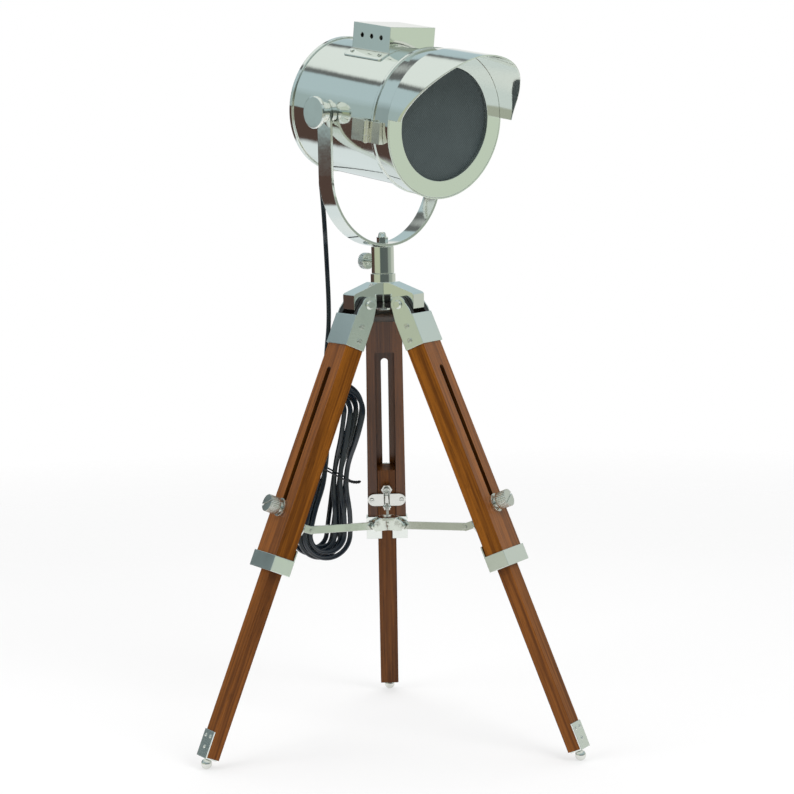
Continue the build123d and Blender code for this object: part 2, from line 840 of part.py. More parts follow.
def beside_head(left):
    """Plane along the head's flank, facing sideways: x backward, y up."""
    return Plane(origin=head_point(0, left, 0), x_dir=ahead * -1, z_dir=sideways)


def ring_profile(inner, outer, back, front):
    """Sketch of a plain ring's section beside the head's axis."""
    with Locations(((back + front) / 2, (inner + outer) / 2)):
        Rectangle(front - back, outer - inner)


# Turning post: a socket on the crown's spigot with the yoke's stud on top
pan_azimuth = head_azimuth + 180
pan_plane = Plane(
    origin=(0, 0, pan_screw_height),
    x_dir=turned(pan_azimuth + 90, 1, 0),
    z_dir=turned(pan_azimuth, 1, 0),
)
with BuildPart() as post:
    post_bottom = crown_collar_top + seat_fit
    with BuildSketch(Plane.XY.offset(post_bottom)):
        Circle(post_radius)
    extrude(amount=post_top - post_bottom)
    chamfer(post.edges().filter_by(GeomType.CIRCLE), post_edge)
    with BuildSketch(Plane.XY.offset(post_bottom)):
        Circle(spigot_radius + running_fit)
    extrude(amount=spigot_height + free_gap, mode=Mode.SUBTRACT)
    with BuildSketch(pan_plane):
        Circle(pan_screw_radius + running_fit)
    extrude(amount=2 * post_radius, mode=Mode.SUBTRACT)
    with BuildSketch(Plane.XY.offset(post_top)):
        Circle(yoke_stud_radius)
    extrude(amount=yoke_strip + yoke_nut_height / 2)
write(post, "turning_post")

with BuildPart() as pan_screw:
    with BuildSketch(pan_plane.offset(spigot_radius + running_fit)):
        Circle(pan_screw_radius)
    extrude(amount=pan_knob_at - spigot_radius)
    with BuildSketch(pan_plane.offset(pan_knob_at - pan_collar_length)):
        Circle(pan_collar_radius)
    extrude(amount=pan_collar_length + pan_knob_length / 2)
    with BuildSketch(pan_plane.offset(pan_knob_at)):
        knurled(pan_knob_radius, knurl_groove, knurl_count)
    extrude(amount=pan_knob_length)
write(pan_screw, "pan_lock_screw")

# Yoke: one bent strip with an eye at the top of each arm
yoke_plane = Plane(origin=(0, 0, 0), x_dir=sideways, z_dir=facing)
with BuildPart() as yoke:
    outer = yoke_outer_radius
    inner = yoke_outer_radius - yoke_strip
    bend = yoke_bend_height
    with BuildSketch(yoke_plane):
        with BuildLine():
            Polyline((inner, bend), (inner, pivot_height), (outer, pivot_height), (outer, bend))
            ThreePointArc((outer, bend), (0, bend - outer), (-outer, bend))
            Polyline((-outer, bend), (-outer, pivot_height), (-inner, pivot_height), (-inner, bend))
            ThreePointArc((-inner, bend), (0, bend - inner), (inner, bend))
        make_face()
    extrude(amount=yoke_width / 2, both=True)
    for sign in (-1, 1):
        eye = Plane(origin=pivot + sideways * (sign * inner), x_dir=facing, z_dir=sideways * sign)
        with BuildSketch(eye):
            Circle(yoke_width / 2)
        extrude(amount=yoke_strip)
        with BuildSketch(eye):
            Circle(pivot_stud_radius + running_fit)
        extrude(amount=yoke_strip, mode=Mode.SUBTRACT)
    with BuildSketch(Plane.XY.offset(post_top)):
        Circle(yoke_stud_radius + running_fit)
    extrude(amount=2 * yoke_strip, mode=Mode.SUBTRACT)
    with BuildSketch(Plane.XY.offset(post_top - yoke_seat_depth)):
        Circle(post_radius)
    extrude(amount=yoke_seat_depth, mode=Mode.SUBTRACT)
write(yoke, "yoke")

with BuildPart() as dome_nut:
    nut_bottom = post_top + yoke_strip + slide_fit
    with BuildSketch(Plane.XY.offset(nut_bottom)):
        RegularPolygon(yoke_nut_across / 2, 6, major_radius=False)
    extrude(amount=yoke_nut_height / 2)
    with BuildSketch(Plane.XY.offset(nut_bottom + yoke_nut_height / 2)):
        Circle(yoke_nut_across / 2 - yoke_nut_dome_step)
    extrude(amount=yoke_nut_height / 2 - yoke_nut_dome_drop, taper=yoke_nut_dome_taper)
    fillet(dome_nut.faces().sort_by(Axis.Z)[-1].edges(), yoke_nut_dome_round)
    with BuildSketch(Plane.XY.offset(nut_bottom)):
        Circle(yoke_stud_radius + running_fit)
    extrude(amount=yoke_nut_height / 2 + free_gap, mode=Mode.SUBTRACT)
write(dome_nut, "yoke_nut")


def rivet_planes():
    """Seats of the vent hood's rivets, on the flange, facing out from the head's axis."""
    middle = vent_width / 2 + vent_flange / 2
    seat = drum_radius + seat_fit + sheet
    angle = asin(middle / seat)
    planes = []
    for sign in (-1, 1):
        out = above * cos(angle) + sideways * (sign * sin(angle))
        for forward in (vent_back + rivet_inset, vent_front - rivet_inset):
            planes.append(Plane(origin=pivot + ahead * forward + out * seat, x_dir=ahead, z_dir=out))
    return planes


# Drum: open tube with a front bead, pivot bosses and studs, catch post and vent mouth
boss_face = yoke_outer_radius - yoke_strip - slide_fit
with BuildPart() as drum:
    with BuildSketch(head_section):
        ring_profile(drum_radius - drum_root, drum_radius, drum_rear, drum_front)
        bead_back = drum_front - drum_bead_width
        ring_profile(drum_radius - drum_root, drum_radius + drum_bead, bead_back, drum_front)
    revolve(axis=head_axis)
    for sign in (-1, 1):
        with BuildSketch(beside_head(sign * (drum_radius - drum_root))):
            Circle(pivot_boss_radius)
        extrude(amount=sign * (boss_face - drum_radius + drum_root))
        with BuildSketch(beside_head(sign * boss_face)):
            Circle(pivot_stud_radius)
        extrude(amount=sign * (tilt_knob_face - tilt_knob_wall - boss_face))
    with BuildSketch(beside_head(drum_radius - drum_root)):
        with Locations((-catch_pivot_at, 0)):
            Circle(catch_pin_radius + catch_post_wall)
    extrude(amount=catch_side - drum_radius + drum_root - seat_fit)
    with BuildSketch(beside_head(catch_side - seat_fit)):
        with Locations((-catch_pivot_at, 0)):
            Circle(catch_pin_radius)
    extrude(amount=catch_thickness + 2 * seat_fit)
    with BuildSketch(head_section):
        ring_profile(0, drum_radius - shell, drum_rear, drum_front)
    revolve(axis=head_axis, mode=Mode.SUBTRACT)
    with BuildSketch(above_head(0)):
        with Locations(((vent_back + vent_front) / 2, 0)):
            RectangleRounded(vent_mouth, vent_mouth, vent_mouth_corner)
    extrude(amount=2 * drum_radius, mode=Mode.SUBTRACT)
    for seat_plane in rivet_planes():
        with BuildSketch(seat_plane):
            Circle(rivet_radius / 2 + running_fit)
        extrude(amount=-4 * sheet, mode=Mode.SUBTRACT)
write(drum, "drum")


# Vent hood: a box on the drum's crown with drilled sides and riveted flanges
with BuildPart() as vent_hood:
    skin_in = drum_radius + seat_fit
    vent_middle = (vent_back + vent_front) / 2
    vent_length = vent_front - vent_back
    with BuildSketch(head_section):
        ring_profile(skin_in, skin_in + sheet, vent_back, vent_front)
    revolve(axis=head_axis)
    with BuildSketch(above_head(0)):
        flange_middle = vent_width / 2 + vent_flange / 2 - sheet / 2
        for sign in (-1, 1):
            with Locations((vent_middle, sign * flange_middle)):
                RectangleRounded(vent_length, vent_flange + sheet, vent_flange_corner)
    extrude(amount=2 * drum_radius, mode=Mode.INTERSECT)
    with BuildSketch(above_head(drum_radius / 2)):
        with Locations((vent_middle, 0)):
            Rectangle(vent_length, vent_width)
    extrude(amount=vent_top - drum_radius / 2)
    with BuildSketch(above_head(0)):
        with Locations((vent_middle, 0)):
            Rectangle(vent_length - 2 * sheet, vent_width - 2 * sheet)
    extrude(amount=vent_top - sheet, mode=Mode.SUBTRACT)
    with BuildSketch(head_section):
        ring_profile(0, skin_in, vent_back - sheet, vent_front + sheet)
    revolve(axis=head_axis, mode=Mode.SUBTRACT)
    with BuildSketch(beside_head(0)):
        with Locations((-vent_middle, vent_hole_height)):
            with GridLocations(vent_hole_pitch, 1, vent_hole_count, 1):
                Circle(vent_hole_radius)
    extrude(amount=vent_width, both=True, mode=Mode.SUBTRACT)
    for seat_plane in rivet_planes():
        with BuildSketch(seat_plane):
            Circle(rivet_radius / 2 + running_fit)
        extrude(amount=-2 * sheet, mode=Mode.SUBTRACT)
write(vent_hood, "vent_hood")

with BuildPart() as vent_rivets:
    for seat_plane in rivet_planes():
        with BuildSketch(seat_plane.offset(running_fit)):
            Circle(rivet_radius)
        extrude(amount=rivet_height, taper=rivet_taper)
        with BuildSketch(seat_plane.offset(running_fit)):
            Circle(rivet_radius / 2)
        extrude(amount=-rivet_grip)
write(vent_rivets, "vent_rivets")

# Rear cap: a disc with a rim over the drum's end
with BuildPart() as rear_cap:
    with BuildSketch(head_section):
        rim_in = drum_radius + seat_fit
        ring_profile(0, rim_in + shell, cap_back, drum_rear - seat_fit)
        ring_profile(rim_in, rim_in + shell, cap_back, cap_back + cap_rim_width)
    revolve(axis=head_axis)
    fillet(rear_cap.edges().filter_by(GeomType.CIRCLE).sort_by(SortBy.RADIUS)[-2:], cap_edge)
write(rear_cap, "rear_cap")

# Gland: a rubber grommet with a boot that leads the cord downward
gland_way = ahead * -cos(radians(gland_angle)) - above * sin(radians(gland_angle))
gland_root = head_point(cap_back - gland_flange / 2, 0, -gland_drop)
cord_start = gland_root + gland_way * gland_length
with BuildPart() as gland:
    with BuildSketch(across_head(cap_back)):
        with Locations((0, -gland_drop)):
            Circle(gland_flange_radius)
    extrude(amount=-gland_flange)
    with BuildSketch(Plane(origin=gland_root, x_dir=sideways, z_dir=gland_way)):
        Circle(cord_diameter / 2 + gland_root_wall)
    with BuildSketch(Plane(origin=cord_start, x_dir=sideways, z_dir=gland_way)):
        Circle(cord_diameter / 2 + gland_tip_wall)
    loft()
    with BuildSketch(across_head(cap_back)):
        with Locations((0, -gland_drop)):
            Circle(3 * gland_flange_radius)
    extrude(amount=2 * gland_flange, mode=Mode.SUBTRACT)
write(gland, "cord_gland")

# Lamp holder on the cap's inner face, and its bulb
with BuildPart() as lamp_holder:
    with BuildSketch(head_section):
        holder_back = drum_rear - seat_fit
        ring_profile(0, holder_radius + holder_flange, holder_back, holder_back + holder_flange)
        ring_profile(0, holder_radius, holder_back, holder_back + holder_length)
    revolve(axis=head_axis)
    with BuildSketch(across_head(holder_back + holder_length)):
        Circle(bulb_cap_radius + seat_fit)
    extrude(amount=-holder_length / 2, mode=Mode.SUBTRACT)
write(lamp_holder, "lamp_holder")

with BuildPart() as bulb:
    bulb_seat = holder_back + holder_length / 2 + seat_fit
    globe = bulb_seat + holder_length / 2 + bulb_length - bulb_radius
    with BuildSketch(across_head(bulb_seat)):
        Circle(bulb_cap_radius)
    extrude(amount=holder_length / 2 + bulb_neck)
    with BuildSketch(across_head(bulb_seat + holder_length / 2)):
        Circle(bulb_cap_radius)
    with BuildSketch(across_head(globe)):
        Circle(bulb_radius * bulb_shoulder_share)
    loft()
    with Locations(head_point(globe, 0, 0)):
        Sphere(bulb_radius)
write(bulb, "bulb")


def build_tilt_knob(name, sign):
    """Mushroom knob that screws on a pivot stud and clamps the yoke's arm."""
    seat = yoke_outer_radius + slide_fit
    flange = tilt_knob_neck + tilt_knob_flange
    rim = tilt_knob_face - tilt_knob_edge
    with BuildPart() as knob:
        with BuildSketch(Plane(origin=pivot, x_dir=sideways * sign, z_dir=facing * sign)):
            with BuildLine():
                Polyline(
                    (seat, 0), (seat, flange), (seat + tilt_knob_flange, flange),
                    (seat + tilt_knob_flange + tilt_knob_step, tilt_knob_neck),
                    (seat + tilt_knob_waist, tilt_knob_neck), (rim - tilt_knob_rim, tilt_knob_radius),
                    (rim, tilt_knob_radius), (tilt_knob_face, tilt_knob_radius - tilt_knob_edge),
                    (tilt_knob_face, 0), close=True,
                )
            make_face()
        revolve(axis=Axis(pivot, sideways))
        with BuildSketch(beside_head(sign * seat)):
            Circle(pivot_stud_radius + running_fit)
        extrude(amount=sign * (tilt_knob_face - tilt_knob_wall + free_gap - seat), mode=Mode.SUBTRACT)
    write(knob, name)


build_tilt_knob("tilt_knob_near", -1)
build_tilt_knob("tilt_knob_far", 1)

# Front barrel: the hinged door's flared tube, drawn out above into a visor
with BuildPart() as barrel:
    visor_tip = door_front + visor_reach
    with BuildSketch(head_section):
        ring_profile(door_front_radius - shell, door_front_radius, door_front - shell, visor_tip)
    revolve(axis=head_axis)
    with BuildSketch(above_head(door_front_radius * cos(radians(visor_half_angle)))):
        with BuildLine():
            wide = door_front_radius + shell
            flat = wide - visor_reach
            Polyline((visor_tip, -flat), (visor_tip, flat))
            RadiusArc((visor_tip, flat), (door_front, wide), -visor_reach)
            back = door_front - shell
            Polyline((door_front, wide), (back, wide), (back, -wide), (door_front, -wide))
            RadiusArc((door_front, -wide), (visor_tip, -flat), -visor_reach)
        make_face()
    extrude(amount=2 * door_front_radius, mode=Mode.INTERSECT)
    with BuildSketch(head_section):
        with BuildLine():
            Polyline(
                (door_rear, door_rear_radius - shell), (door_rear, door_rear_radius),
                (door_front, door_front_radius), (door_front, door_front_radius - shell), close=True,
            )
        make_face()
        bead = door_rear_radius + drum_bead
        ring_profile(door_rear_radius - shell, bead, door_rear, door_rear + drum_bead_width)
    revolve(axis=head_axis)
    with BuildSketch(beside_head(door_front_radius - drum_root)):
        with Locations((-catch_pin_at, 0)):
            Circle(catch_pin_radius)
    extrude(amount=catch_side + catch_thickness + seat_fit - door_front_radius + drum_root)
    with BuildSketch(head_section):
        ring_profile(0, door_rear_radius - shell, door_rear, door_front)
    revolve(axis=head_axis, mode=Mode.SUBTRACT)
write(barrel, "front_barrel")

# Bezel: flat front ring that crimps round the lens
with BuildPart() as bezel:
    flare = (door_front_radius - door_rear_radius) / (door_front - door_rear)
    bezel_outer = door_front_radius - shell - flare * bezel_plate - seat_fit
    lens_front = door_front - lens_recess
    lens_back = lens_front - lens_thickness
    with BuildSketch(head_section):
        ring_profile(bezel_inner_radius, bezel_outer, door_front - bezel_plate, door_front)
        ring_profile(bezel_inner_radius, bezel_inner_radius + shell, lens_front + seat_fit, door_front)
        cup_in = lens_radius + seat_fit
        cup_back = door_front - bezel_depth
        ring_profile(cup_in, cup_in + shell, cup_back, door_front)
        ring_profile(lens_radius - bezel_crimp, cup_in + shell, cup_back, lens_back - seat_fit)
    revolve(axis=head_axis)
write(bezel, "bezel")

with BuildPart() as lens:
    with BuildSketch(across_head(lens_back)):
        Circle(lens_radius)
    extrude(amount=lens_thickness)
write(lens, "lens")

# Door hinge on the near side: two leaves with interleaved knuckles and a pin
hinge_low = hinge_centre - hinge_tall / 2
knuckle_tall = hinge_tall / knuckle_share
hinge_line = (door_rear + drum_front) / 2


def upright_on_hinge(up):
    """Plane square to the hinge pin: x forward, y sideways from the pin."""
    return Plane(origin=head_point(hinge_line, -hinge_pin_side, up), x_dir=ahead, z_dir=above)


def build_leaf(name, sign, knuckles, length, cut_radius):
    """One hinge leaf: its plate and pad lie ahead of the pin (1) or behind it (-1)."""
    clear = knuckle_radius + free_gap
    with BuildPart() as leaf:
        with BuildSketch(upright_on_hinge(hinge_low)):
            with Locations((sign * (clear + length) / 2, knuckle_radius - leaf_thickness / 2)):
                Rectangle(length - clear, leaf_thickness)
            pad_depth = hinge_pin_side - knuckle_radius - cut_radius + drum_root
            pad_middle = knuckle_radius + (pad_depth - leaf_thickness) / 2
            with Locations((sign * (length - leaf_pad_length / 2), pad_middle)):
                Rectangle(leaf_pad_length, pad_depth + leaf_thickness)
        extrude(amount=hinge_tall)
        for index in knuckles:
            with BuildSketch(upright_on_hinge(hinge_low + index * knuckle_tall + running_fit)):
                Circle(knuckle_radius)
                with Locations((sign * clear / 2, knuckle_radius - leaf_thickness / 2)):
                    Rectangle(clear + leaf_overlap, leaf_thickness)
                Circle(hinge_pin_radius + running_fit, mode=Mode.SUBTRACT)
            extrude(amount=knuckle_tall - 2 * running_fit)
        with BuildSketch(head_section):
            ring_profile(0, cut_radius, hinge_line - 2 * length, hinge_line + 2 * length)
        revolve(axis=head_axis, mode=Mode.SUBTRACT)
    write(leaf, name)


drum_cut = drum_radius + seat_fit
door_cut = door_front_radius - leaf_pad_sink
build_leaf("hinge_leaf_drum", -1, range(0, knuckle_share, 2), leaf_drum_length, drum_cut)
build_leaf("hinge_leaf_door", 1, range(1, knuckle_share, 2), leaf_door_length, door_cut)

with BuildPart() as hinge_pin:
    with BuildSketch(upright_on_hinge(hinge_low - hinge_pin_end)):
        Circle(hinge_pin_radius)
    extrude(amount=hinge_tall + 2 * hinge_pin_end)
write(hinge_pin, "hinge_pin")

# Hook catch on the far side, turning on the drum's post over the door's pin
with BuildPart() as catch:
    with BuildSketch(beside_head(catch_side)):
        with Locations((-(catch_pivot_at + catch_pin_at) / 2, 0)):
            SlotCenterToCenter(catch_pin_at - catch_pivot_at, catch_width)
        with Locations((-catch_pivot_at + catch_tab_offset, 0)):
            Rectangle(catch_tab_length, catch_width - catch_tab_trim)
        notch = 2 * (catch_pin_radius + free_gap)
        with Locations((-catch_pin_at, -catch_width / 2)):
            SlotCenterToCenter(catch_width, notch, rotation=90, mode=Mode.SUBTRACT)
        with Locations((-catch_pivot_at, 0)):
            Circle(catch_pin_radius + running_fit, mode=Mode.SUBTRACT)
    extrude(amount=catch_thickness)
write(catch, "door_catch")

# Lead's hanging stretch: straight runs joined by arcs as large as they allow
hank_up = (Vector(*hank_top) - Vector(*hank_bottom)).normalized()
hank_left = (Vector(-1, 0, 0) + hank_up * hank_up.X).normalized()
hank_back = hank_left.cross(hank_up)
hank_centre = (Vector(*hank_top) + Vector(*hank_bottom)) * 0.5
hank_half = (Vector(*hank_top) - Vector(*hank_bottom)).length / 2
hank_depth = hank_layer_step * (hank_layers - 1)
runs_a_layer = 2 * hank_loops_a_layer
widest = hank_half_width + hank_step * (hank_loops_a_layer - 1)


def in_hank(left, up, back):
    """A point of the hank in the room."""
    return hank_centre + hank_left * left + hank_up * up + hank_back * back


def corner_radii(points):
    """The largest arc for each corner of a route, from the shorter of its two runs."""
    radii = []
    for before, corner, after in zip(points, points[1:], points[2:]):
        turn = radians((corner - before).get_angle(after - corner))
        shorter = min((corner - before).length, (after - corner).length)
        radii.append(corner_share * shorter / tan(turn / 2))
    return radii


hank_entry = in_hank(widest, hank_half + hank_lead, hank_depth / 2)
route = [cord_start, cord_start + gland_way * cord_lead_out]
route += [Vector(*point) for point in cord_route]
route += [hank_entry + hank_up * cord_lead_in, hank_entry]
route_radii = corner_radii(route)
print("lead bends mm", [round(radius, 1) for radius in route_radii])

with BuildPart() as cord_drop:
    with BuildLine() as drop_line:
        FilletPolyline(*route, radius=route_radii)
    with BuildSketch(Plane(origin=cord_start, x_dir=sideways, z_dir=gland_way)):
        Circle(cord_diameter / 2)
    sweep(path=drop_line.wire())
drop_length = drop_line.wire().length
section_area = pi * cord_diameter**2 / 4
print("lead volume share", round(cord_drop.part.volume / (section_area * drop_length), 4))
write(cord_drop, "cord_drop")


def layer_widths(layer):
    """Half widths of one layer's runs: layers spiral in and out by turns."""
    outward = layer % 2 == 1
    start = hank_half_width if outward else widest
    rate = hank_step / 2 if outward else -hank_step / 2
    return [start + rate * run for run in range(runs_a_layer)]


def half_run(start, finish):
    """Two equal arcs that carry a run sideways between two points, upright at both."""
    along = hank_up if (finish - start).dot(hank_up) > 0 else hank_up * -1
    rise = (finish - start).dot(along)
    shift = (finish - start) - along * rise
    sweep_angle = 2 * atan(shift.length / rise)
    radius = (rise**2 + shift.length**2) / (4 * shift.length)
    aside = shift.normalized()
    step = along * (radius * sin(sweep_angle / 2)) + aside * (radius * (1 - cos(sweep_angle / 2)))
    middle = (start + finish) * 0.5
    ThreePointArc(start, start + step, middle)
    ThreePointArc(middle, finish - step, finish)


def half_turn(start, finish, outward):
    """A half circle over the top (1) or under the bottom (-1) of the hank."""
    middle = (start + finish) * 0.5
    ThreePointArc(start, middle + hank_up * (outward * (finish - start).length / 2), finish)


with BuildPart() as hank:
    with BuildLine() as hank_line:
        depth = hank_depth / 2
        last = in_hank(widest, hank_half, depth)
        Line(hank_entry, last)
        for layer in range(hank_layers):
            final_layer = layer == hank_layers - 1
            for run, width in enumerate(layer_widths(layer)):
                side_sign = 1 if run % 2 == 0 else -1
                first = in_hank(side_sign * width, side_sign * hank_half, depth)
                if run > 0 or layer > 0:
                    half_turn(last, first, side_sign)
                waist = in_hank(side_sign * (width - hank_draw), 0, depth)
                half_run(first, waist)
                if run == runs_a_layer - 1:
                    depth -= plug_clear if final_layer else hank_layer_step
                last = in_hank(side_sign * width, -side_sign * hank_half, depth)
                half_run(waist, last)
        tail = in_hank(widest, hank_half, depth)
        half_turn(last, tail, 1)
        plug_end = in_hank(widest, hank_half - plug_drop, depth)
        Line(tail, plug_end)
    with BuildSketch(Plane(origin=hank_entry, x_dir=hank_left, z_dir=hank_up * -1)):
        Circle(cord_diameter / 2)
    sweep(path=hank_line.wire())
hank_length = hank_line.wire().length
print("hank volume share", round(hank.part.volume / (section_area * hank_length), 4))
print("lead length mm", round(drop_length), "hank length mm", round(hank_length))
write(hank, "cord_hank")


def least_gap(wire, spacing, skip):
    """Least clear distance between stretches of a tube that lie apart along it."""
    count = int(wire.length / spacing)
    points = [tuple(wire.position_at(index / count)) for index in range(count + 1)]
    apart = int(skip / spacing)
    least = wire.length
    for index, point in enumerate(points):
        for other in points[index + apart:]:
            gap = dist(point, other)
            if gap < least:
                least = gap
    return least - cord_diameter


print("hank least gap mm", round(least_gap(hank_line.wire(), gap_spacing, gap_skip), 2))

# Wire tie round the hank's waist, with its twisted tail
with BuildPart() as tie:
    waist_left = widest - hank_draw
    waist_right = hank_half_width + hank_step * (runs_a_layer - 1) / 2 - hank_draw
    tie_room = cord_diameter / 2 + free_gap
    tie_wide = waist_left + waist_right + 2 * tie_room
    tie_deep = hank_depth + 2 * tie_room
    tie_middle = (waist_left - waist_right) / 2
    tie_plane = Plane(origin=in_hank(tie_middle, -tie_height / 2, 0), x_dir=hank_left, z_dir=hank_up)
    with BuildSketch(tie_plane):
        RectangleRounded(tie_wide + 2 * tie_wire, tie_deep + 2 * tie_wire, cord_diameter)
        RectangleRounded(tie_wide, tie_deep, cord_diameter / 2, mode=Mode.SUBTRACT)
    extrude(amount=tie_height)
    tail_root = in_hank(tie_middle - tie_wide / 2 - tie_wire / 2, 0, 0)
    tail_plane = Plane(origin=tail_root, x_dir=hank_up, z_dir=hank_left * -1)
    with BuildSketch(tail_plane):
        Circle(tie_wire)
    extrude(amount=tie_tail, taper=tie_tail_taper)
write(tie, "cord_tie")

# Plug: two flat blades in a small moulded body, hanging on the lead's end
with BuildPart() as plug:
    plug_plane = Plane(origin=plug_end, x_dir=hank_left, z_dir=hank_up * -1)
    with BuildSketch(plug_plane):
        Circle(cord_diameter / 2 + plug_neck)
    with BuildSketch(plug_plane.offset(plug_length / 2)):
        RectangleRounded(plug_width, plug_depth, plug_corner)
    loft()
    with BuildSketch(plug_plane.offset(plug_length / 2)):
        RectangleRounded(plug_width, plug_depth, plug_corner)
    extrude(amount=plug_length / 2)
    with BuildSketch(plug_plane.offset(plug_length)):
        with GridLocations(blade_pitch, 1, 2, 1):
            Rectangle(blade_thickness, blade_width)
    extrude(amount=blade_length)
write(plug, "mains_plug")
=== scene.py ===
from math import atan2, cos, pi, radians, sin, tan

import bmesh
import bpy
from mathutils import Matrix, Vector


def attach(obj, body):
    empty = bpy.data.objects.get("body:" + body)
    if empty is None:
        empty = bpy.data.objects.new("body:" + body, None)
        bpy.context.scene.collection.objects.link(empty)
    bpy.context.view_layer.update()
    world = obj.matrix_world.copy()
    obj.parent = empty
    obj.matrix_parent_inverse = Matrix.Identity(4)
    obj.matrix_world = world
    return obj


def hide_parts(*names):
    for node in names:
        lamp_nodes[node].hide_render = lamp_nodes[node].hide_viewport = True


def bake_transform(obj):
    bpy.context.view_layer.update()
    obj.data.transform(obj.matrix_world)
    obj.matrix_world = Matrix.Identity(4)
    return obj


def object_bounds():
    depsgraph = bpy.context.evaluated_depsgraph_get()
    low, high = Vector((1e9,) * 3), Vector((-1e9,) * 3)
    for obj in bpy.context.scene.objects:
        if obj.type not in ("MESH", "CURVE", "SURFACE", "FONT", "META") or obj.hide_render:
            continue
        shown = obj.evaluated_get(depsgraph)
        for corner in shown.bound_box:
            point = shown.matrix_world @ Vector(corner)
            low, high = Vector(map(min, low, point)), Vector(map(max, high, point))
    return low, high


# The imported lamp, in metres: floor at zero, tripod's axis upright
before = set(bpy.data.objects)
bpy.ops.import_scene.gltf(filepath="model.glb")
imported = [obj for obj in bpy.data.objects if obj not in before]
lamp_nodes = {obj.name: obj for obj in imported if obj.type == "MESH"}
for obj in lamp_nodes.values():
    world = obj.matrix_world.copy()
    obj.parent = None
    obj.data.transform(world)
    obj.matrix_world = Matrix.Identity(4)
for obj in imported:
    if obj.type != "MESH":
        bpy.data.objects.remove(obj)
cad_low, cad_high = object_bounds()
scene = bpy.context.scene
MM = 0.001

# Bearings of the lamp head and the legs, as in the part's source
HEAD_AZIMUTH = radians(-50.06)
HEAD_DROOP = radians(8.21)
HEAD_PIVOT = Vector((0.0, 0.0, 490.9)) * MM
FACING = Vector((cos(HEAD_AZIMUTH), sin(HEAD_AZIMUTH), 0.0))
SIDEWAYS = Vector((-sin(HEAD_AZIMUTH), cos(HEAD_AZIMUTH), 0.0))
UPWARD = Vector((0.0, 0.0, 1.0))
AHEAD = FACING * cos(HEAD_DROOP) - UPWARD * sin(HEAD_DROOP)
ABOVE = FACING * sin(HEAD_DROOP) + UPWARD * cos(HEAD_DROOP)
LEG_AZIMUTHS = {"back": radians(90.0), "left": radians(210.0), "right": radians(330.0)}
LEG_SPLAY = radians(23.03)
LEG_HINGE_RADIUS = 21.0 * MM
LEG_HINGE_HEIGHT = 344.0 * MM


def leg_ways(azimuth):
    """One leg's directions across it, down it and out of its face, and the place of its hinge."""
    level_out = Vector((cos(azimuth), sin(azimuth), 0.0))
    across = Vector((-sin(azimuth), cos(azimuth), 0.0))
    down = level_out * sin(LEG_SPLAY) - UPWARD * cos(LEG_SPLAY)
    outward = level_out * cos(LEG_SPLAY) + UPWARD * sin(LEG_SPLAY)
    hinge = level_out * LEG_HINGE_RADIUS + UPWARD * LEG_HINGE_HEIGHT
    return across, down, outward, hinge


def link(thing):
    """Puts a new object in the scene."""
    scene.collection.objects.link(thing)
    return thing


def join_rings(body, rings, closed=False):
    """Faces between rings of points, closed on themselves or capped at both ends."""
    count = len(rings[0])
    for near, far in zip(rings, rings[1:] + rings[:1] if closed else rings[1:]):
        for index in range(count):
            beside = (index + 1) % count
            body.faces.new((near[index], near[beside], far[beside], far[index]))
    if not closed:
        body.faces.new(list(reversed(rings[0])))
        body.faces.new(rings[-1])


def make_piece(name, body, smooth):
    """An object from a body of faces, the four-sided ones smooth where wanted."""
    bmesh.ops.recalc_face_normals(body, faces=body.faces)
    for skin in body.faces:
        skin.smooth = smooth and len(skin.verts) == 4
    mesh = bpy.data.meshes.new(name)
    body.to_mesh(mesh)
    body.free()
    return link(bpy.data.objects.new(name, mesh))


# Camera at the photograph's place: place, turn, pitch and roll come from the legs
CAMERA_PLACE = Vector((-15.05, -1842.9, 484.4)) * MM
CAMERA_TURN = radians(-0.746)
CAMERA_PITCH = radians(-6.631)
CAMERA_ROLL = radians(-1.134)
CAMERA_LENS = 108.24
CAMERA_SENSOR = 36.0
CAMERA_CLIP = (0.05, 50.0)


def make_camera():
    """A long lens, level with the lamp head."""
    ahead = Vector((
        -sin(CAMERA_TURN) * cos(CAMERA_PITCH),
        cos(CAMERA_TURN) * cos(CAMERA_PITCH),
        sin(CAMERA_PITCH),
    ))
    right = ahead.cross(UPWARD).normalized()
    up = right.cross(ahead)
    rolled_right = right * cos(CAMERA_ROLL) + up * sin(CAMERA_ROLL)
    rolled_up = up * cos(CAMERA_ROLL) - right * sin(CAMERA_ROLL)
    lens = bpy.data.cameras.new("photo_camera")
    lens.sensor_width = CAMERA_SENSOR
    lens.lens = CAMERA_LENS
    lens.clip_start, lens.clip_end = CAMERA_CLIP
    camera = link(bpy.data.objects.new("photo_camera", lens))
    turn = Matrix((rolled_right, rolled_up, -ahead)).transposed().to_4x4()
    camera.matrix_world = Matrix.Translation(CAMERA_PLACE) @ turn
    scene.camera = camera


make_camera()

# Lead: twin flex from the gland to the hank, its route in mm repeated from the part's source
FLEX_WIDTH = 3.8 * MM
FLEX_CORE = 1.15 * MM
FLEX_STEPS = 8
LINE_ORDER = 3
LINE_STEPS = 8
GLAND_DROP = 30.0
GLAND_BACK = -46.4
GLAND_LENGTH = 20.0
GLAND_ANGLE = radians(52.0)
LEAD_OUT = 14.5
LEAD_IN = 12.0
LEAD_ROUTE = [
    (-45.9, 55.0, 422.0),
    (-44.0, 53.0, 374.0),
    (-42.8, 49.6, 327.0),
    (-46.0, 44.0, 301.0),
]
HANK_TOP = Vector((-37.5, 30.0, 258.0))
HANK_BOTTOM = Vector((-50.0, 28.0, 158.0))
HANK_LAYERS = 4
HANK_RUNS = 4
HANK_HALF_WIDTH = 12.7
HANK_STEP = 4.7
HANK_LAYER_STEP = 4.6
HANK_DRAW = 8.3
HANK_LEAD = 6.0
PLUG_CLEAR = 10.0
PLUG_DROP = 14.0
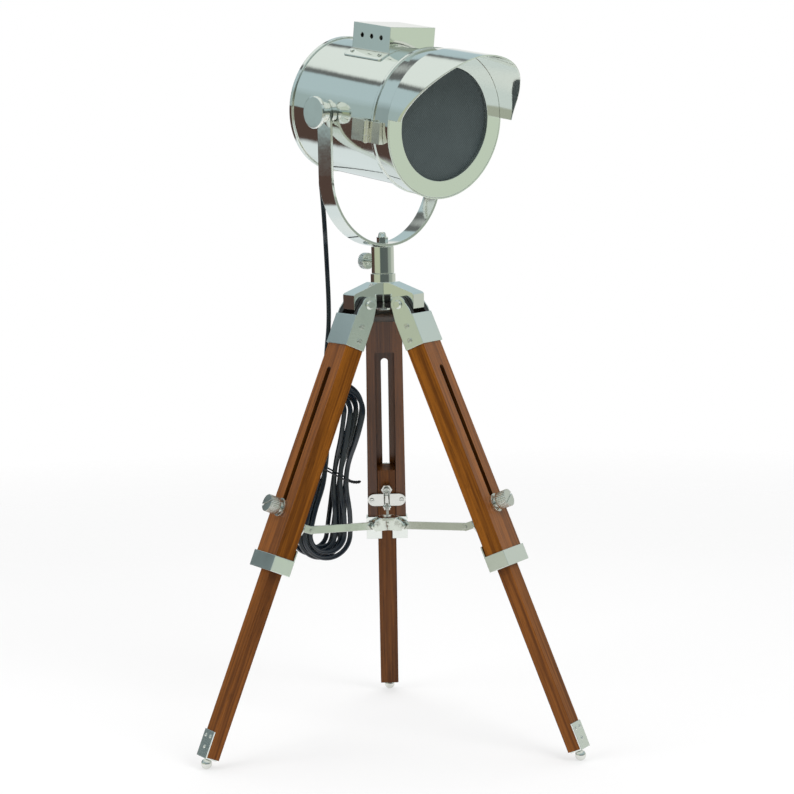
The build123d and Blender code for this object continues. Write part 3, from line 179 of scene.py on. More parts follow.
LEAD_SPLIT_HEIGHT = 395.0 * MM
LEAD_SPLIT_TURN = 0.45

hank_up = (HANK_TOP - HANK_BOTTOM).normalized()
hank_left = (Vector((-1.0, 0.0, 0.0)) + hank_up * hank_up.x).normalized()
hank_back = hank_left.cross(hank_up)
hank_centre = (HANK_TOP + HANK_BOTTOM) / 2
hank_half = (HANK_TOP - HANK_BOTTOM).length / 2
hank_widest = HANK_HALF_WIDTH + HANK_STEP
hank_depth = HANK_LAYER_STEP * (HANK_LAYERS - 1)


def in_hank(left, up, back):
    """A point of the hank in the room, from millimetres to the left, up and back."""
    return (hank_centre + hank_left * left + hank_up * up + hank_back * back) * MM


def gland_tip():
    """Where the lead leaves the gland, and the way it leaves."""
    way = AHEAD * -cos(GLAND_ANGLE) - ABOVE * sin(GLAND_ANGLE)
    root = HEAD_PIVOT / MM + AHEAD * GLAND_BACK - ABOVE * GLAND_DROP
    return (root + way * GLAND_LENGTH) * MM, way


# How each layer of the hank lies loose: its ends' shifts to the left and how far they stand
# out, in mm, and their twist about the hank's length, in degrees
TOP_SHIFTS = (-3.0, 0.5, 0.0, 3.0)
BOTTOM_SHIFTS = (7.0, 5.0, 3.0, 1.0)
TOP_REACHES = (0.0, -2.0, 2.0, -1.0)
BOTTOM_REACHES = (1.0, -3.0, 2.0, -1.0)
TOP_TWIST = 15.0
BOTTOM_TWIST = -15.0
RUN_LEVELS = (1.0, 0.62, 0.2, -0.2, -0.62, -1.0)
TURN_STEPS = 8


def waist_share(share):
    """How far a run has drawn in towards the waist, from its shoulder (0) to the waist (1)."""
    if share < 0.5:
        return 2 * share * share
    return 1 - 2 * (1 - share) ** 2


def in_layer(left, up, back, layer, reach, share=0.0):
    """A point of one layer, fanned and twisted towards its ends; share takes it over to the next."""
    shifts = [*(TOP_SHIFTS if up > 0 else BOTTOM_SHIFTS), 0.0]
    shift = shifts[layer] * (1 - share) + shifts[layer + 1] * share
    fanned = 1 - waist_share(1 - min(abs(up) / reach, 1.0))
    last = 1 - share if layer == HANK_LAYERS - 1 else 1.0
    twist = radians(TOP_TWIST if up > 0 else BOTTOM_TWIST) * last * fanned
    return in_hank(
        left * cos(twist) - back * sin(twist) + shift * fanned, up, left * sin(twist) + back * cos(twist)
    )


def hank_points():
    """Control points of every loop: two drawn-in runs and two round ends to a turn."""
    points = []
    depth = hank_depth / 2
    for layer in range(HANK_LAYERS):
        outward = layer % 2 == 1
        start = HANK_HALF_WIDTH if outward else hank_widest
        rate = HANK_STEP / 2 if outward else -HANK_STEP / 2
        for run in range(HANK_RUNS):
            side = 1 if run % 2 == 0 else -1
            width = start + rate * run
            shoulder = width * tan(pi / TURN_STEPS / 2)
            final_run = run == HANK_RUNS - 1
            top = hank_half + [*TOP_REACHES, 0.0][layer + final_run]
            bottom = hank_half + BOTTOM_REACHES[layer]
            plug_run = final_run and layer == HANK_LAYERS - 1
            climb = (PLUG_CLEAR if plug_run else HANK_LAYER_STEP) if final_run else 0.0
            for level in RUN_LEVELS:
                drawn = width - HANK_DRAW * waist_share(1 - abs(level))
                reach = (top if side * level > 0 else bottom) - shoulder
                climbed = climb * waist_share(-level) if level < 0 else 0.0
                share = waist_share((1 - level) / 2) if final_run else 0.0
                up = side * level * reach
                points.append(in_layer(side * drawn, up, depth - climbed, layer, reach, share))
            depth -= climb
            following = width + rate
            if final_run:
                following = hank_widest if outward else HANK_HALF_WIDTH
            corner = (width + following) / 2 / cos(pi / TURN_STEPS / 2)
            reach = bottom if side > 0 else top
            for step in range(TURN_STEPS):
                turn = pi * (step + 0.5) / TURN_STEPS
                across = side * ((width - following) / 2 + corner * cos(turn))
                up = -side * (reach + corner * sin(turn))
                points.append(in_layer(across, up, depth, layer, reach, float(final_run)))
    for drop in (0.0, PLUG_DROP / 2, PLUG_DROP):
        points.append(in_hank(hank_widest, hank_half - drop, depth))
    return points


def read_nurbs(points):
    """Points along the smooth line that takes these as its control points."""
    curve = bpy.data.curves.new("lead_line", "CURVE")
    curve.dimensions = "3D"
    spline = curve.splines.new("NURBS")
    spline.points.add(len(points) - 1)
    for knot, place in zip(spline.points, points):
        knot.co = (place.x, place.y, place.z, 1.0)
    spline.order_u = LINE_ORDER
    spline.use_endpoint_u = True
    spline.resolution_u = LINE_STEPS
    holder = link(bpy.data.objects.new("lead_line", curve))
    bpy.context.view_layer.update()
    seen = holder.evaluated_get(bpy.context.evaluated_depsgraph_get())
    mesh = bpy.data.meshes.new_from_object(seen)
    line = [vertex.co.copy() for vertex in mesh.vertices]
    bpy.data.objects.remove(holder)
    bpy.data.curves.remove(curve)
    bpy.data.meshes.remove(mesh)
    return line


def flex_outline():
    """Section of twin flex: two round cores side by side with a groove between."""
    offset = FLEX_WIDTH / 2 - FLEX_CORE
    first = -atan2((FLEX_CORE**2 - offset**2) ** 0.5, -offset)
    outline = []
    for side in (1, -1):
        for step in range(FLEX_STEPS):
            angle = first * (1 - 2 * step / FLEX_STEPS)
            outline.append((side * (offset + FLEX_CORE * cos(angle)), side * FLEX_CORE * sin(angle)))
    return outline


def flex_tube(name, line, first_share, last_share):
    """A solid length of flex along a line. Its flat side turns from the head's back to the hank's."""
    outline = flex_outline()
    body = bmesh.new()
    rings = []
    count = len(line)
    for index, place in enumerate(line):
        before = line[max(index - 1, 0)]
        after = line[min(index + 1, count - 1)]
        along = (after - before).normalized()
        share = first_share + (last_share - first_share) * index / (count - 1)
        flat = (FACING * -(1 - share) + hank_back * share).normalized()
        across = along.cross(flat).normalized()
        face = across.cross(along)
        rings.append([body.verts.new(place + across * x + face * y) for x, y in outline])
    join_rings(body, rings)
    return make_piece(name, body, smooth=True)


# Wire tie round the hank's waist: a leaning loop and a twisted tail, in mm
TIE_WIRE = 0.7
TIE_HALF_WIDTH = 12.9
TIE_HALF_DEPTH = 8.8
TIE_MIDDLE = -1.2
TIE_SQUARENESS = 8.0
TIE_LEAN = 0.4
TIE_TAIL = 9.5
TIE_TWIST = 0.62
TIE_TURNS = 2.6
TIE_LOOP_STEPS = 64
TIE_TAIL_STEPS = 48
TIE_SIDES = 10


def tie_loop():
    """Points of the loop: a rounded rectangle round the runs, lower on its right."""
    points = []
    for step in range(TIE_LOOP_STEPS):
        turn = 2 * pi * step / TIE_LOOP_STEPS
        powers = abs(cos(turn)) ** TIE_SQUARENESS + abs(sin(turn)) ** TIE_SQUARENESS
        size = powers ** (-1 / TIE_SQUARENESS)
        left = TIE_HALF_WIDTH * size * cos(turn)
        points.append(in_hank(TIE_MIDDLE + left, TIE_LEAN * left, TIE_HALF_DEPTH * size * sin(turn)))
    return points


def tie_strand(first_turn):
    """Points of one strand of the tail, wound about a line that runs down to the right."""
    points = []
    for step in range(TIE_TAIL_STEPS + 1):
        share = step / TIE_TAIL_STEPS
        turn = first_turn + 2 * pi * TIE_TURNS * share
        out = TIE_TAIL * share
        points.append(in_hank(
            TIE_MIDDLE - TIE_HALF_WIDTH - out,
            -TIE_LEAN * (TIE_HALF_WIDTH + out * (1 - share)) + TIE_TWIST * sin(turn),
            TIE_TWIST * cos(turn),
        ))
    return points


def wire_run(body, line, closed):
    """A round wire along a line of points, closed on itself or capped."""
    turns = [2 * pi * step / TIE_SIDES for step in range(TIE_SIDES)]
    rings = []
    count = len(line)
    for index, place in enumerate(line):
        before = line[index - 1] if closed else line[max(index - 1, 0)]
        after = line[(index + 1) % count] if closed else line[min(index + 1, count - 1)]
        along = (after - before).normalized()
        across = along.cross(hank_up).normalized()
        beside = across.cross(along)
        rings.append([
            body.verts.new(place + (across * cos(turn) + beside * sin(turn)) * TIE_WIRE * MM)
            for turn in turns
        ])
    join_rings(body, rings, closed)


def make_wire_tie():
    """The tie as one piece that rides with the hank."""
    body = bmesh.new()
    wire_run(body, tie_loop(), True)
    wire_run(body, tie_strand(0.0), False)
    wire_run(body, tie_strand(pi), False)
    return make_piece("wire_tie", body, smooth=True)


wire_tie = make_wire_tie()
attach(wire_tie, "stand")
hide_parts("cord_tie")

lead_exit, lead_way = gland_tip()
hank_entry = in_layer(hank_widest, hank_half + HANK_LEAD, hank_depth / 2, 0, hank_half)
lead_points = [lead_exit, lead_exit + lead_way * LEAD_OUT * MM]
lead_points += [Vector(point) * MM for point in LEAD_ROUTE]
lead_points += [hank_entry + hank_up * LEAD_IN * MM, hank_entry]
lead_line = read_nurbs(lead_points + hank_points())
split_index = next(i for i, place in enumerate(lead_line) if place.z < LEAD_SPLIT_HEIGHT)
upper_line = lead_line[: split_index + 1]
lower_line = lead_line[split_index:]

lead_upper = flex_tube("lead_upper", upper_line, 0.0, LEAD_SPLIT_TURN)
lead_lower = flex_tube("lead_lower", lower_line, LEAD_SPLIT_TURN, 1.0)
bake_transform(lead_upper)
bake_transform(lead_lower)
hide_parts("cord_drop")
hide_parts("cord_hank")

# Finishes: shared effects are node groups, placed in each material with its own values


def put(tree, kind, settings=None, **values):
    """A node with its settings and inputs (i0, i1 by number); a value that is a socket is joined to it."""
    node = tree.nodes.new(kind)
    for name, value in (settings or {}).items():
        setattr(node, name, value)
    for name, value in values.items():
        numbered = name[0] == "i" and name[1:].isdigit()
        socket = node.inputs[int(name[1:]) if numbered else name.replace("_", " ").title()]
        if isinstance(value, bpy.types.NodeSocket):
            tree.links.new(value, socket)
        else:
            socket.default_value = value
    return node


def use_group(tree, group, **values):
    """Places a shared group in a material."""
    return put(tree, "ShaderNodeGroup", {"node_tree": group}, **values)


def maths(tree, operation, first, second=0.0):
    """One sum on two values; gives its result's socket."""
    return put(tree, "ShaderNodeMath", {"operation": operation}, i0=first, i1=second).outputs[0]


def measure_along(tree, place, way):
    """How far a place lies along a direction."""
    settings = {"operation": "DOT_PRODUCT"}
    return put(tree, "ShaderNodeVectorMath", settings, i0=place, i1=tuple(way)).outputs["Value"]


def stretch(tree, place, scales):
    """Coordinates with a scale for each part, so that a pattern runs long one way."""
    return put(tree, "ShaderNodeVectorMath", {"operation": "MULTIPLY"}, i0=place, i1=scales).outputs[0]


def darken(tree, colour, share):
    """A colour scaled by a share."""
    return put(tree, "ShaderNodeVectorMath", {"operation": "SCALE"}, i0=colour, i3=share).outputs[0]


def mix_colours(tree, share, first, second):
    """From one colour to another by a share."""
    return put(tree, "ShaderNodeMix", {"data_type": "RGBA"}, i0=share, i6=first, i7=second).outputs[2]


def map_range(tree, value, span, low=0.0, high=1.0):
    """A value's place in a span, given between two other values."""
    node = put(
        tree, "ShaderNodeMapRange", Value=value, From_Min=span[0], From_Max=span[1], To_Min=low, To_Max=high,
    )
    return node.outputs[0]


def noise(tree, place, scale, detail, **more):
    """Cloudy noise at a scale."""
    return put(tree, "ShaderNodeTexNoise", Vector=place, Scale=scale, Detail=detail, **more).outputs[0]


def ramp(tree, value, stops):
    """A colour ramp over a value from places and colours."""
    node = put(tree, "ShaderNodeValToRGB", Fac=value)
    band = node.color_ramp.elements
    band[0].position, band[0].color = stops[0][0], (*stops[0][1], 1.0)
    band[1].position, band[1].color = stops[-1][0], (*stops[-1][1], 1.0)
    for place, colour in stops[1:-1]:
        band.new(place).color = (*colour, 1.0)
    return node.outputs["Color"]


def new_group(name, inputs, outputs):
    """An empty shader group with named sockets; returns it with its two ends."""
    group = bpy.data.node_groups.new(name, "ShaderNodeTree")
    for label, kind, value in inputs:
        socket = group.interface.new_socket(label, in_out="INPUT", socket_type=kind)
        if value is not None:
            socket.default_value = value
    for label, kind in outputs:
        group.interface.new_socket(label, in_out="OUTPUT", socket_type=kind)
    return group, group.nodes.new("NodeGroupInput"), group.nodes.new("NodeGroupOutput")


# Patterns of the groups: scales along each axis, and the spans of noise that they use
SMEAR_SPAN = (0.35, 0.68)
SMEAR_HEIGHT = 0.6
SCRATCH_STRETCH = (1800.0, 240.0, 60.0)
SCRATCH_SHARPNESS = 4.0
GRAIN_BANDS = (5.0, 95.0, 95.0)
GRAIN_LINES = (14.0, 620.0, 620.0)
GRAIN_PORES = (90.0, 1500.0, 1500.0)
GRAIN_SPAN = (0.41, 0.59)
PORE_SPAN = (0.62, 0.72)
PORE_SHADE = 0.35
VARNISH_SPAN = (0.3, 0.7)
VARNISH_ROUGHNESS = (0.55, 0.4)
SKIN_PATCHES = 40.0
SKIN_SPAN = (0.35, 0.65)


def make_polish_marks():
    """Smears and fine scratches of polished metal: roughness between two values, and height."""
    group, ends, out = new_group(
        "polish_marks",
        [
            ("Vector", "NodeSocketVector", None),
            ("Smear Scale", "NodeSocketFloat", 30.0),
            ("Low", "NodeSocketFloat", 0.05),
            ("High", "NodeSocketFloat", 0.14),
            ("Scratch", "NodeSocketFloat", 0.04),
        ],
        [("Roughness", "NodeSocketFloat"), ("Height", "NodeSocketFloat")],
    )
    place = ends.outputs["Vector"]
    smear = noise(group, place, ends.outputs["Smear Scale"], 4.0, Roughness=0.6)
    base = map_range(group, smear, SMEAR_SPAN, ends.outputs["Low"], ends.outputs["High"])
    scratch = noise(group, stretch(group, place, SCRATCH_STRETCH), 1.0, 2.0)
    sharp = maths(group, "POWER", scratch, SCRATCH_SHARPNESS)
    marks = maths(group, "MULTIPLY", sharp, ends.outputs["Scratch"])
    group.links.new(maths(group, "ADD", base, marks), out.inputs["Roughness"])
    wave = maths(group, "MULTIPLY", smear, SMEAR_HEIGHT)
    group.links.new(maths(group, "ADD", wave, marks), out.inputs["Height"])
    return group


def make_wood_grain():
    """Straight grain with darker lines and short pores; along the leg is the vector's first part."""
    group, ends, out = new_group(
        "wood_grain",
        [
            ("Vector", "NodeSocketVector", None),
            ("Dark", "NodeSocketColor", (0.1, 0.03, 0.01, 1.0)),
            ("Light", "NodeSocketColor", (0.4, 0.15, 0.04, 1.0)),
        ],
        [("Color", "NodeSocketColor"), ("Roughness", "NodeSocketFloat"), ("Height", "NodeSocketFloat")],
    )
    place = ends.outputs["Vector"]
    bands = noise(group, stretch(group, place, GRAIN_BANDS), 1.0, 5.0, Distortion=0.7)
    lines = noise(group, stretch(group, place, GRAIN_LINES), 1.0, 3.0)
    pores = noise(group, stretch(group, place, GRAIN_PORES), 1.0, 1.0)
    half_lines = maths(group, "MULTIPLY", lines, 0.5)
    mixed = maths(group, "ADD", maths(group, "MULTIPLY", bands, 0.5), half_lines)
    tone = map_range(group, mixed, GRAIN_SPAN)
    colour = mix_colours(group, tone, ends.outputs["Dark"], ends.outputs["Light"])
    pit = map_range(group, pores, PORE_SPAN)
    kept = maths(group, "SUBTRACT", 1.0, maths(group, "MULTIPLY", pit, PORE_SHADE))
    group.links.new(darken(group, colour, kept), out.inputs["Color"])
    group.links.new(map_range(group, mixed, VARNISH_SPAN, *VARNISH_ROUGHNESS), out.inputs["Roughness"])
    group.links.new(maths(group, "SUBTRACT", half_lines, pit), out.inputs["Height"])
    return group


def make_moulded_skin():
    """Fine moulded grain of plastic and rubber: roughness between two values, and height."""
    group, ends, out = new_group(
        "moulded_skin",
        [
            ("Vector", "NodeSocketVector", None),
            ("Grain Scale", "NodeSocketFloat", 900.0),
            ("Low", "NodeSocketFloat", 0.25),
            ("High", "NodeSocketFloat", 0.4),
        ],
        [("Roughness", "NodeSocketFloat"), ("Height", "NodeSocketFloat")],
    )
    place = ends.outputs["Vector"]
    grain = noise(group, place, ends.outputs["Grain Scale"], 2.0)
    patches = noise(group, place, SKIN_PATCHES, 3.0)
    rough = map_range(group, patches, SKIN_SPAN, ends.outputs["Low"], ends.outputs["High"])
    group.links.new(rough, out.inputs["Roughness"])
    group.links.new(grain, out.inputs["Height"])
    return group


polish_marks = make_polish_marks()
wood_grain = make_wood_grain()
moulded_skin = make_moulded_skin()

# Softened edges, and the strength and depth of each kind's bump
EDGE_ROUND = 0.6 * MM
METAL_BUMP = 0.25
WOOD_BUMP = (0.3, 0.12 * MM)
PLASTIC_DEPTH = 0.2 * MM
TWO_PART_BUMP = (0.08, 0.2 * MM)
LENS_BUMP = (0.15, 0.2 * MM)


def new_finish(name):
    """A node material with its shader and the piece's own coordinates."""
    material = bpy.data.materials.new(name)
    material.use_nodes = True
    tree = material.node_tree
    shader = tree.nodes["Principled BSDF"]
    place = tree.nodes.new("ShaderNodeTexCoord").outputs["Object"]
    return material, tree, shader, place


def bump(tree, shader, height, strength, depth, edge=True):
    """Height, over softened edges where wanted, joined to the shader's normal."""
    node = put(tree, "ShaderNodeBump", Strength=strength, Distance=depth, Height=height)
    if edge:
        soft = put(tree, "ShaderNodeBevel", {"samples": 4}, Radius=EDGE_ROUND)
        tree.links.new(soft.outputs[0], node.inputs["Normal"])
    tree.links.new(node.outputs[0], shader.inputs["Normal"])


def metal_finish(name, colour, low, high, smear, ripple, place=None, scratch=0.04):
    """Polished or satin metal: base colour, roughness range, smear size and sheet ripple."""
    material, tree, shader, own_place = new_finish(name)
    marks = use_group(
        tree, polish_marks, vector=place(tree, own_place) if place else own_place,
        smear_scale=smear, low=low, high=high, scratch=scratch,
    )
    shader.inputs["Base Color"].default_value = (*colour, 1.0)
    shader.inputs["Metallic"].default_value = 1.0
    tree.links.new(marks.outputs["Roughness"], shader.inputs["Roughness"])
    bump(tree, shader, marks.outputs["Height"], METAL_BUMP, ripple)
    return material


def along_leg(azimuth):
    """What builds coordinates down, across and out of one leg, for its grain and its brushing."""
    across, down, outward, _ = leg_ways(azimuth)

    def build(tree, place):
        parts = [measure_along(tree, place, way) for way in (down, across, outward)]
        return put(tree, "ShaderNodeCombineXYZ", X=parts[0], Y=parts[1], Z=parts[2]).outputs[0]

    return build


# Wood: dark and light of the grain, each leg's tone and gloss, with painted shade on the back leg and its
# slider, on the channel walls, and in the head, which is near black from dark end grain and painted shade
WOOD_FACE = ((0.13, 0.04, 0.006), (0.27, 0.09, 0.014))
WOOD_SIDE = ((0.11, 0.034, 0.003), (0.245, 0.082, 0.007))
# Each leg's tone: the back leg's half tone is painted shade
WOOD_PAINTED_SHADE = {"back": 0.5, "left": 1.0, "right": 1.0}
WOOD_COATS = {"back": 0.85, "left": 0.5, "right": 0.5}
SLIDER_COAT = 0.3
# The sliders' tone below one is their wood's own; the back slider's lower tone is painted shade
SLIDER_TONES_AND_PAINTED_SHADE = {"back": 0.52, "left": 0.8, "right": 0.78}
SIDE_SPAN = (0.35, 0.75)
# Channel: its half width, and the share of colour kept on its walls, which are darkened as painted shade in
# the recess
CHANNEL_HALF = 8.6 * MM
CHANNEL_PAINTED_SHADE = 0.3
# Head: near black over this length below the hinge, from dark end grain and painted shade between the
# bracket's cheeks
HEAD_END_GRAIN_AND_SHADE = (0.012, 0.009, 0.008, 1.0)
HEAD_LENGTH = 15.0 * MM
WOOD_SPECULAR = 0.1
VARNISH_HAZE = 0.3


def wood_finish(name, tag, azimuth, upper):
    """Varnished wood with grain along its leg, its tone carrying the back leg's painted shade: redder on the
    broad face, painted shade on the channel walls, and a head near black from dark end grain and painted
    shade.
    """
    material, tree, shader, place = new_finish(f"{name}_{tag}")
    across, down, _, hinge = leg_ways(azimuth)
    spot = along_leg(azimuth)(tree, place)
    # This tone carries the back leg's and back slider's painted shade
    tone = WOOD_PAINTED_SHADE[tag] if upper else SLIDER_TONES_AND_PAINTED_SHADE[tag]

    def grain(colours):
        dark, light = [(*[part * tone for part in colour], 1.0) for colour in colours]
        return use_group(tree, wood_grain, vector=spot, dark=dark, light=light)

    face = grain(WOOD_FACE)
    if upper:
        side = grain(WOOD_SIDE)
        looking = tree.nodes.new("ShaderNodeTexCoord").outputs["Normal"]
        sideways = maths(tree, "ABSOLUTE", measure_along(tree, looking, across))
        amount = map_range(tree, sideways, SIDE_SPAN)
        colour = mix_colours(tree, amount, face.outputs["Color"], side.outputs["Color"])
        parts = put(tree, "ShaderNodeSeparateXYZ", Vector=spot)
        aside = maths(tree, "ABSOLUTE", parts.outputs["Y"])
        # Painted shade on the channel walls: the side faces within the channel's width
        painted_channel_shade = maths(tree, "MULTIPLY", maths(tree, "LESS_THAN", aside, CHANNEL_HALF), amount)
        kept = maths(tree, "SUBTRACT", 1.0, maths(tree, "MULTIPLY", painted_channel_shade, 1.0 - CHANNEL_PAINTED_SHADE))
        # The head below the hinge is near black: dark end grain and painted shade
        head = maths(tree, "LESS_THAN", parts.outputs["X"], hinge.dot(down) + HEAD_LENGTH)
        colour_with_painted_shade = mix_colours(tree, head, darken(tree, colour, kept), HEAD_END_GRAIN_AND_SHADE)
        tree.links.new(colour_with_painted_shade, shader.inputs["Base Color"])
        glossy = maths(tree, "MULTIPLY", maths(tree, "SUBTRACT", 1.0, amount), WOOD_COATS[tag])
        tree.links.new(glossy, shader.inputs["Coat Weight"])
    else:
        shader.inputs["Coat Weight"].default_value = WOOD_COATS[tag] * SLIDER_COAT
        tree.links.new(face.outputs["Color"], shader.inputs["Base Color"])
    tree.links.new(face.outputs["Roughness"], shader.inputs["Roughness"])
    shader.inputs["Specular IOR Level"].default_value = WOOD_SPECULAR
    shader.inputs["Coat Roughness"].default_value = VARNISH_HAZE
    bump(tree, shader, face.outputs["Height"], *WOOD_BUMP)
    return material


FLEX_COAT = 0.18
GLOSS_ROUGHNESS = 0.06
GLOSS_IOR = 2.2


def plastic_finish(name, colour, low, high, grain, strength, coat=0.0):
    """Moulded plastic or rubber in one colour, bare or with a gloss."""
    material, tree, shader, place = new_finish(name)
    skin = use_group(tree, moulded_skin, vector=place, grain_scale=grain, low=low, high=high)
    shader.inputs["Base Color"].default_value = (*colour, 1.0)
    tree.links.new(skin.outputs["Roughness"], shader.inputs["Roughness"])
    shader.inputs["Coat Weight"].default_value = coat
    shader.inputs["Coat Roughness"].default_value = GLOSS_ROUGHNESS
    shader.inputs["Coat IOR"].default_value = GLOSS_IOR
    bump(tree, shader, skin.outputs["Height"], strength, PLASTIC_DEPTH, edge=False)
    return material


TWO_PART_GRAIN = 700.0


def two_part_finish(name, origin, way, distance, near, far, skin_range):
    """A piece of two materials in one solid: moulded or glass up to a line, metal past it."""
    material, tree, shader, place = new_finish(name)
    settings = {"operation": "SUBTRACT"}
    from_origin = put(tree, "ShaderNodeVectorMath", settings, i0=place, i1=tuple(origin)).outputs[0]
    past = maths(tree, "GREATER_THAN", measure_along(tree, from_origin, way), distance)
    low, high = skin_range
    skin = use_group(tree, moulded_skin, vector=place, grain_scale=TWO_PART_GRAIN, low=low, high=high)
    tree.links.new(mix_colours(tree, past, (*near, 1.0), (*far, 1.0)), shader.inputs["Base Color"])
    tree.links.new(past, shader.inputs["Metallic"])
    tree.links.new(skin.outputs["Roughness"], shader.inputs["Roughness"])
    bump(tree, shader, skin.outputs["Height"], *TWO_PART_BUMP)
    return material


LENS_PITCH = 1.9 * MM
LENS_CLOUDS = 60.0
LENS_SHARE = 0.3
LENS_MIDDLE = 0.35
LENS_TINTS = [(0.2, (0.035, 0.047, 0.05)), (0.8, (0.075, 0.095, 0.098))]
LENS_ROUGHNESS = 0.42
LENS_SPECULAR = 0.35


def lens_finish():
    """Dark slate lens with a fine pressed weave of dots."""
    material, tree, shader, place = new_finish("dark_lens")
    waves = []
    for way in (SIDEWAYS, ABOVE):
        turns = maths(tree, "MULTIPLY", measure_along(tree, place, way), 2 * pi / LENS_PITCH)
        waves.append(maths(tree, "SINE", turns))
    dots = maths(tree, "MULTIPLY", waves[0], waves[1])
    cloud = noise(tree, place, LENS_CLOUDS, 3.0)
    weave = maths(tree, "MULTIPLY", dots, LENS_SHARE)
    level = maths(tree, "ADD", weave, maths(tree, "MULTIPLY", cloud, LENS_SHARE))
    tint = ramp(tree, maths(tree, "ADD", level, LENS_MIDDLE), LENS_TINTS)
    tree.links.new(tint, shader.inputs["Base Color"])
    shader.inputs["Roughness"].default_value = LENS_ROUGHNESS
    shader.inputs["Specular IOR Level"].default_value = LENS_SPECULAR
    bump(tree, shader, dots, *LENS_BUMP, edge=False)
    return material


NICKEL = (0.83, 0.85, 0.8)
STEEL = (0.74, 0.75, 0.71)
HINGE_NICKEL = (0.84, 0.83, 0.74)
SATIN = (0.84, 0.88, 0.84)
SATIN_SCRATCH = 0.06
FLEX_BLACK = (0.003, 0.008, 0.016)
PLUG_BLACK = (0.018, 0.018, 0.019)
PLUG_BODY = 30.0 * MM
BRASS = (0.75, 0.66, 0.42)
BULB_WHITE = (0.85, 0.84, 0.8)
BULB_GLASS = 6.0 * MM
BULB_CAP = (0.7, 0.68, 0.6)
finishes = {
    "polished_nickel": metal_finish("polished_nickel", NICKEL, 0.03, 0.09, 26.0, 0.3 * MM),
    "sheet_nickel": metal_finish("sheet_nickel", NICKEL, 0.04, 0.1, 14.0, 1.2 * MM),
    "polished_steel": metal_finish("polished_steel", STEEL, 0.12, 0.26, 60.0, 0.1 * MM),
    "hinge_nickel": metal_finish("hinge_nickel", HINGE_NICKEL, 0.16, 0.34, 90.0, 0.4 * MM),
    "dark_lens": lens_finish(),
    "flex_black": plastic_finish("flex_black", FLEX_BLACK, 0.12, 0.22, 500.0, 0.04, FLEX_COAT),
    "gland_rubber": plastic_finish("gland_rubber", (0.015, 0.015, 0.016), 0.4, 0.55, 900.0, 0.1),
    "holder_black": plastic_finish("holder_black", (0.02, 0.02, 0.022), 0.35, 0.5, 900.0, 0.1),
    "tie_black": plastic_finish("tie_black", (0.018, 0.018, 0.02), 0.3, 0.45, 900.0, 0.1),
}
for leg_tag, leg_azimuth in LEG_AZIMUTHS.items():
    finishes[f"wood_{leg_tag}"] = wood_finish("varnished_wood", leg_tag, leg_azimuth, True)
    finishes[f"slider_{leg_tag}"] = wood_finish("sliding_wood", leg_tag, leg_azimuth, False)
    finishes[f"satin_{leg_tag}"] = metal_finish(
        f"satin_nickel_{leg_tag}", SATIN, 0.16, 0.26, 40.0, 0.2 * MM, along_leg(leg_azimuth), SATIN_SCRATCH
    )
plug_root = in_hank(hank_widest, hank_half - PLUG_DROP, -hank_depth / 2 - PLUG_CLEAR)
finishes["plug_black"] = two_part_finish(
    "plug_black", plug_root, -hank_up, PLUG_BODY, PLUG_BLACK, BRASS, (0.3, 0.42)
)
finishes["bulb_glass"] = two_part_finish(
    "bulb_glass", HEAD_PIVOT, -AHEAD, BULB_GLASS, BULB_WHITE, BULB_CAP, (0.12, 0.3)
)


def dress(material, *names):
    """Gives CAD nodes one finish."""
    for name in names:
        slots = lamp_nodes[name].data.materials
        slots.clear()
        slots.append(finishes[material])


dress(
    "polished_nickel", "crown", "turning_post", "yoke", "yoke_nut", "rear_cap", "vent_rivets",
    "tilt_knob_near", "tilt_knob_far", "pan_lock_screw", "spreader_hub", "leg_hinge_bolts", "bezel",
)
dress("hinge_nickel", "hinge_leaf_drum", "hinge_leaf_door", "hinge_pin", "door_catch")
dress("sheet_nickel", "drum", "front_barrel", "vent_hood")
dress("dark_lens", "lens")
dress("bulb_glass", "bulb")
dress("holder_black", "lamp_holder")
dress("gland_rubber", "cord_gland")
dress("plug_black", "mains_plug")
wire_tie.data.materials.append(finishes["tie_black"])
for leg_tag in LEG_AZIMUTHS:
    dress(f"wood_{leg_tag}", f"upper_leg_{leg_tag}")
    dress(f"slider_{leg_tag}", f"lower_leg_{leg_tag}")
    dress(f"satin_{leg_tag}", f"top_bracket_{leg_tag}", f"ferrule_{leg_tag}", f"foot_plate_{leg_tag}")
    dress(
        "polished_steel", f"spreader_bracket_{leg_tag}", f"spreader_arm_{leg_tag}", f"leg_screws_{leg_tag}",
        f"clamp_screw_{leg_tag}", f"clamp_nut_{leg_tag}", f"ball_foot_{leg_tag}",
    )
for lead in (lead_upper, lead_lower):
    lead.data.materials.append(finishes["flex_black"])

# Foot plates' screws: slotted domed heads on the outer face, each at a place down and across the leg
SCREW_RADIUS = 1.5 * MM
SCREW_TIP = 0.08 * SCREW_RADIUS
SCREW_RISE = 0.7 * MM
SCREW_LEVELS = 5
SCREW_SIDES = 24
SLOT_HALF = 0.25 * MM
SLOT_LEFT = 0.45
FOOT_SCREWS = [
    (348.0 * MM, 3.6 * MM, 0.4),
    (348.0 * MM, -3.6 * MM, 1.3),
    (356.5 * MM, 0.0, 2.3),
]
FOOT_PLATE_OUT = 4.5 * MM


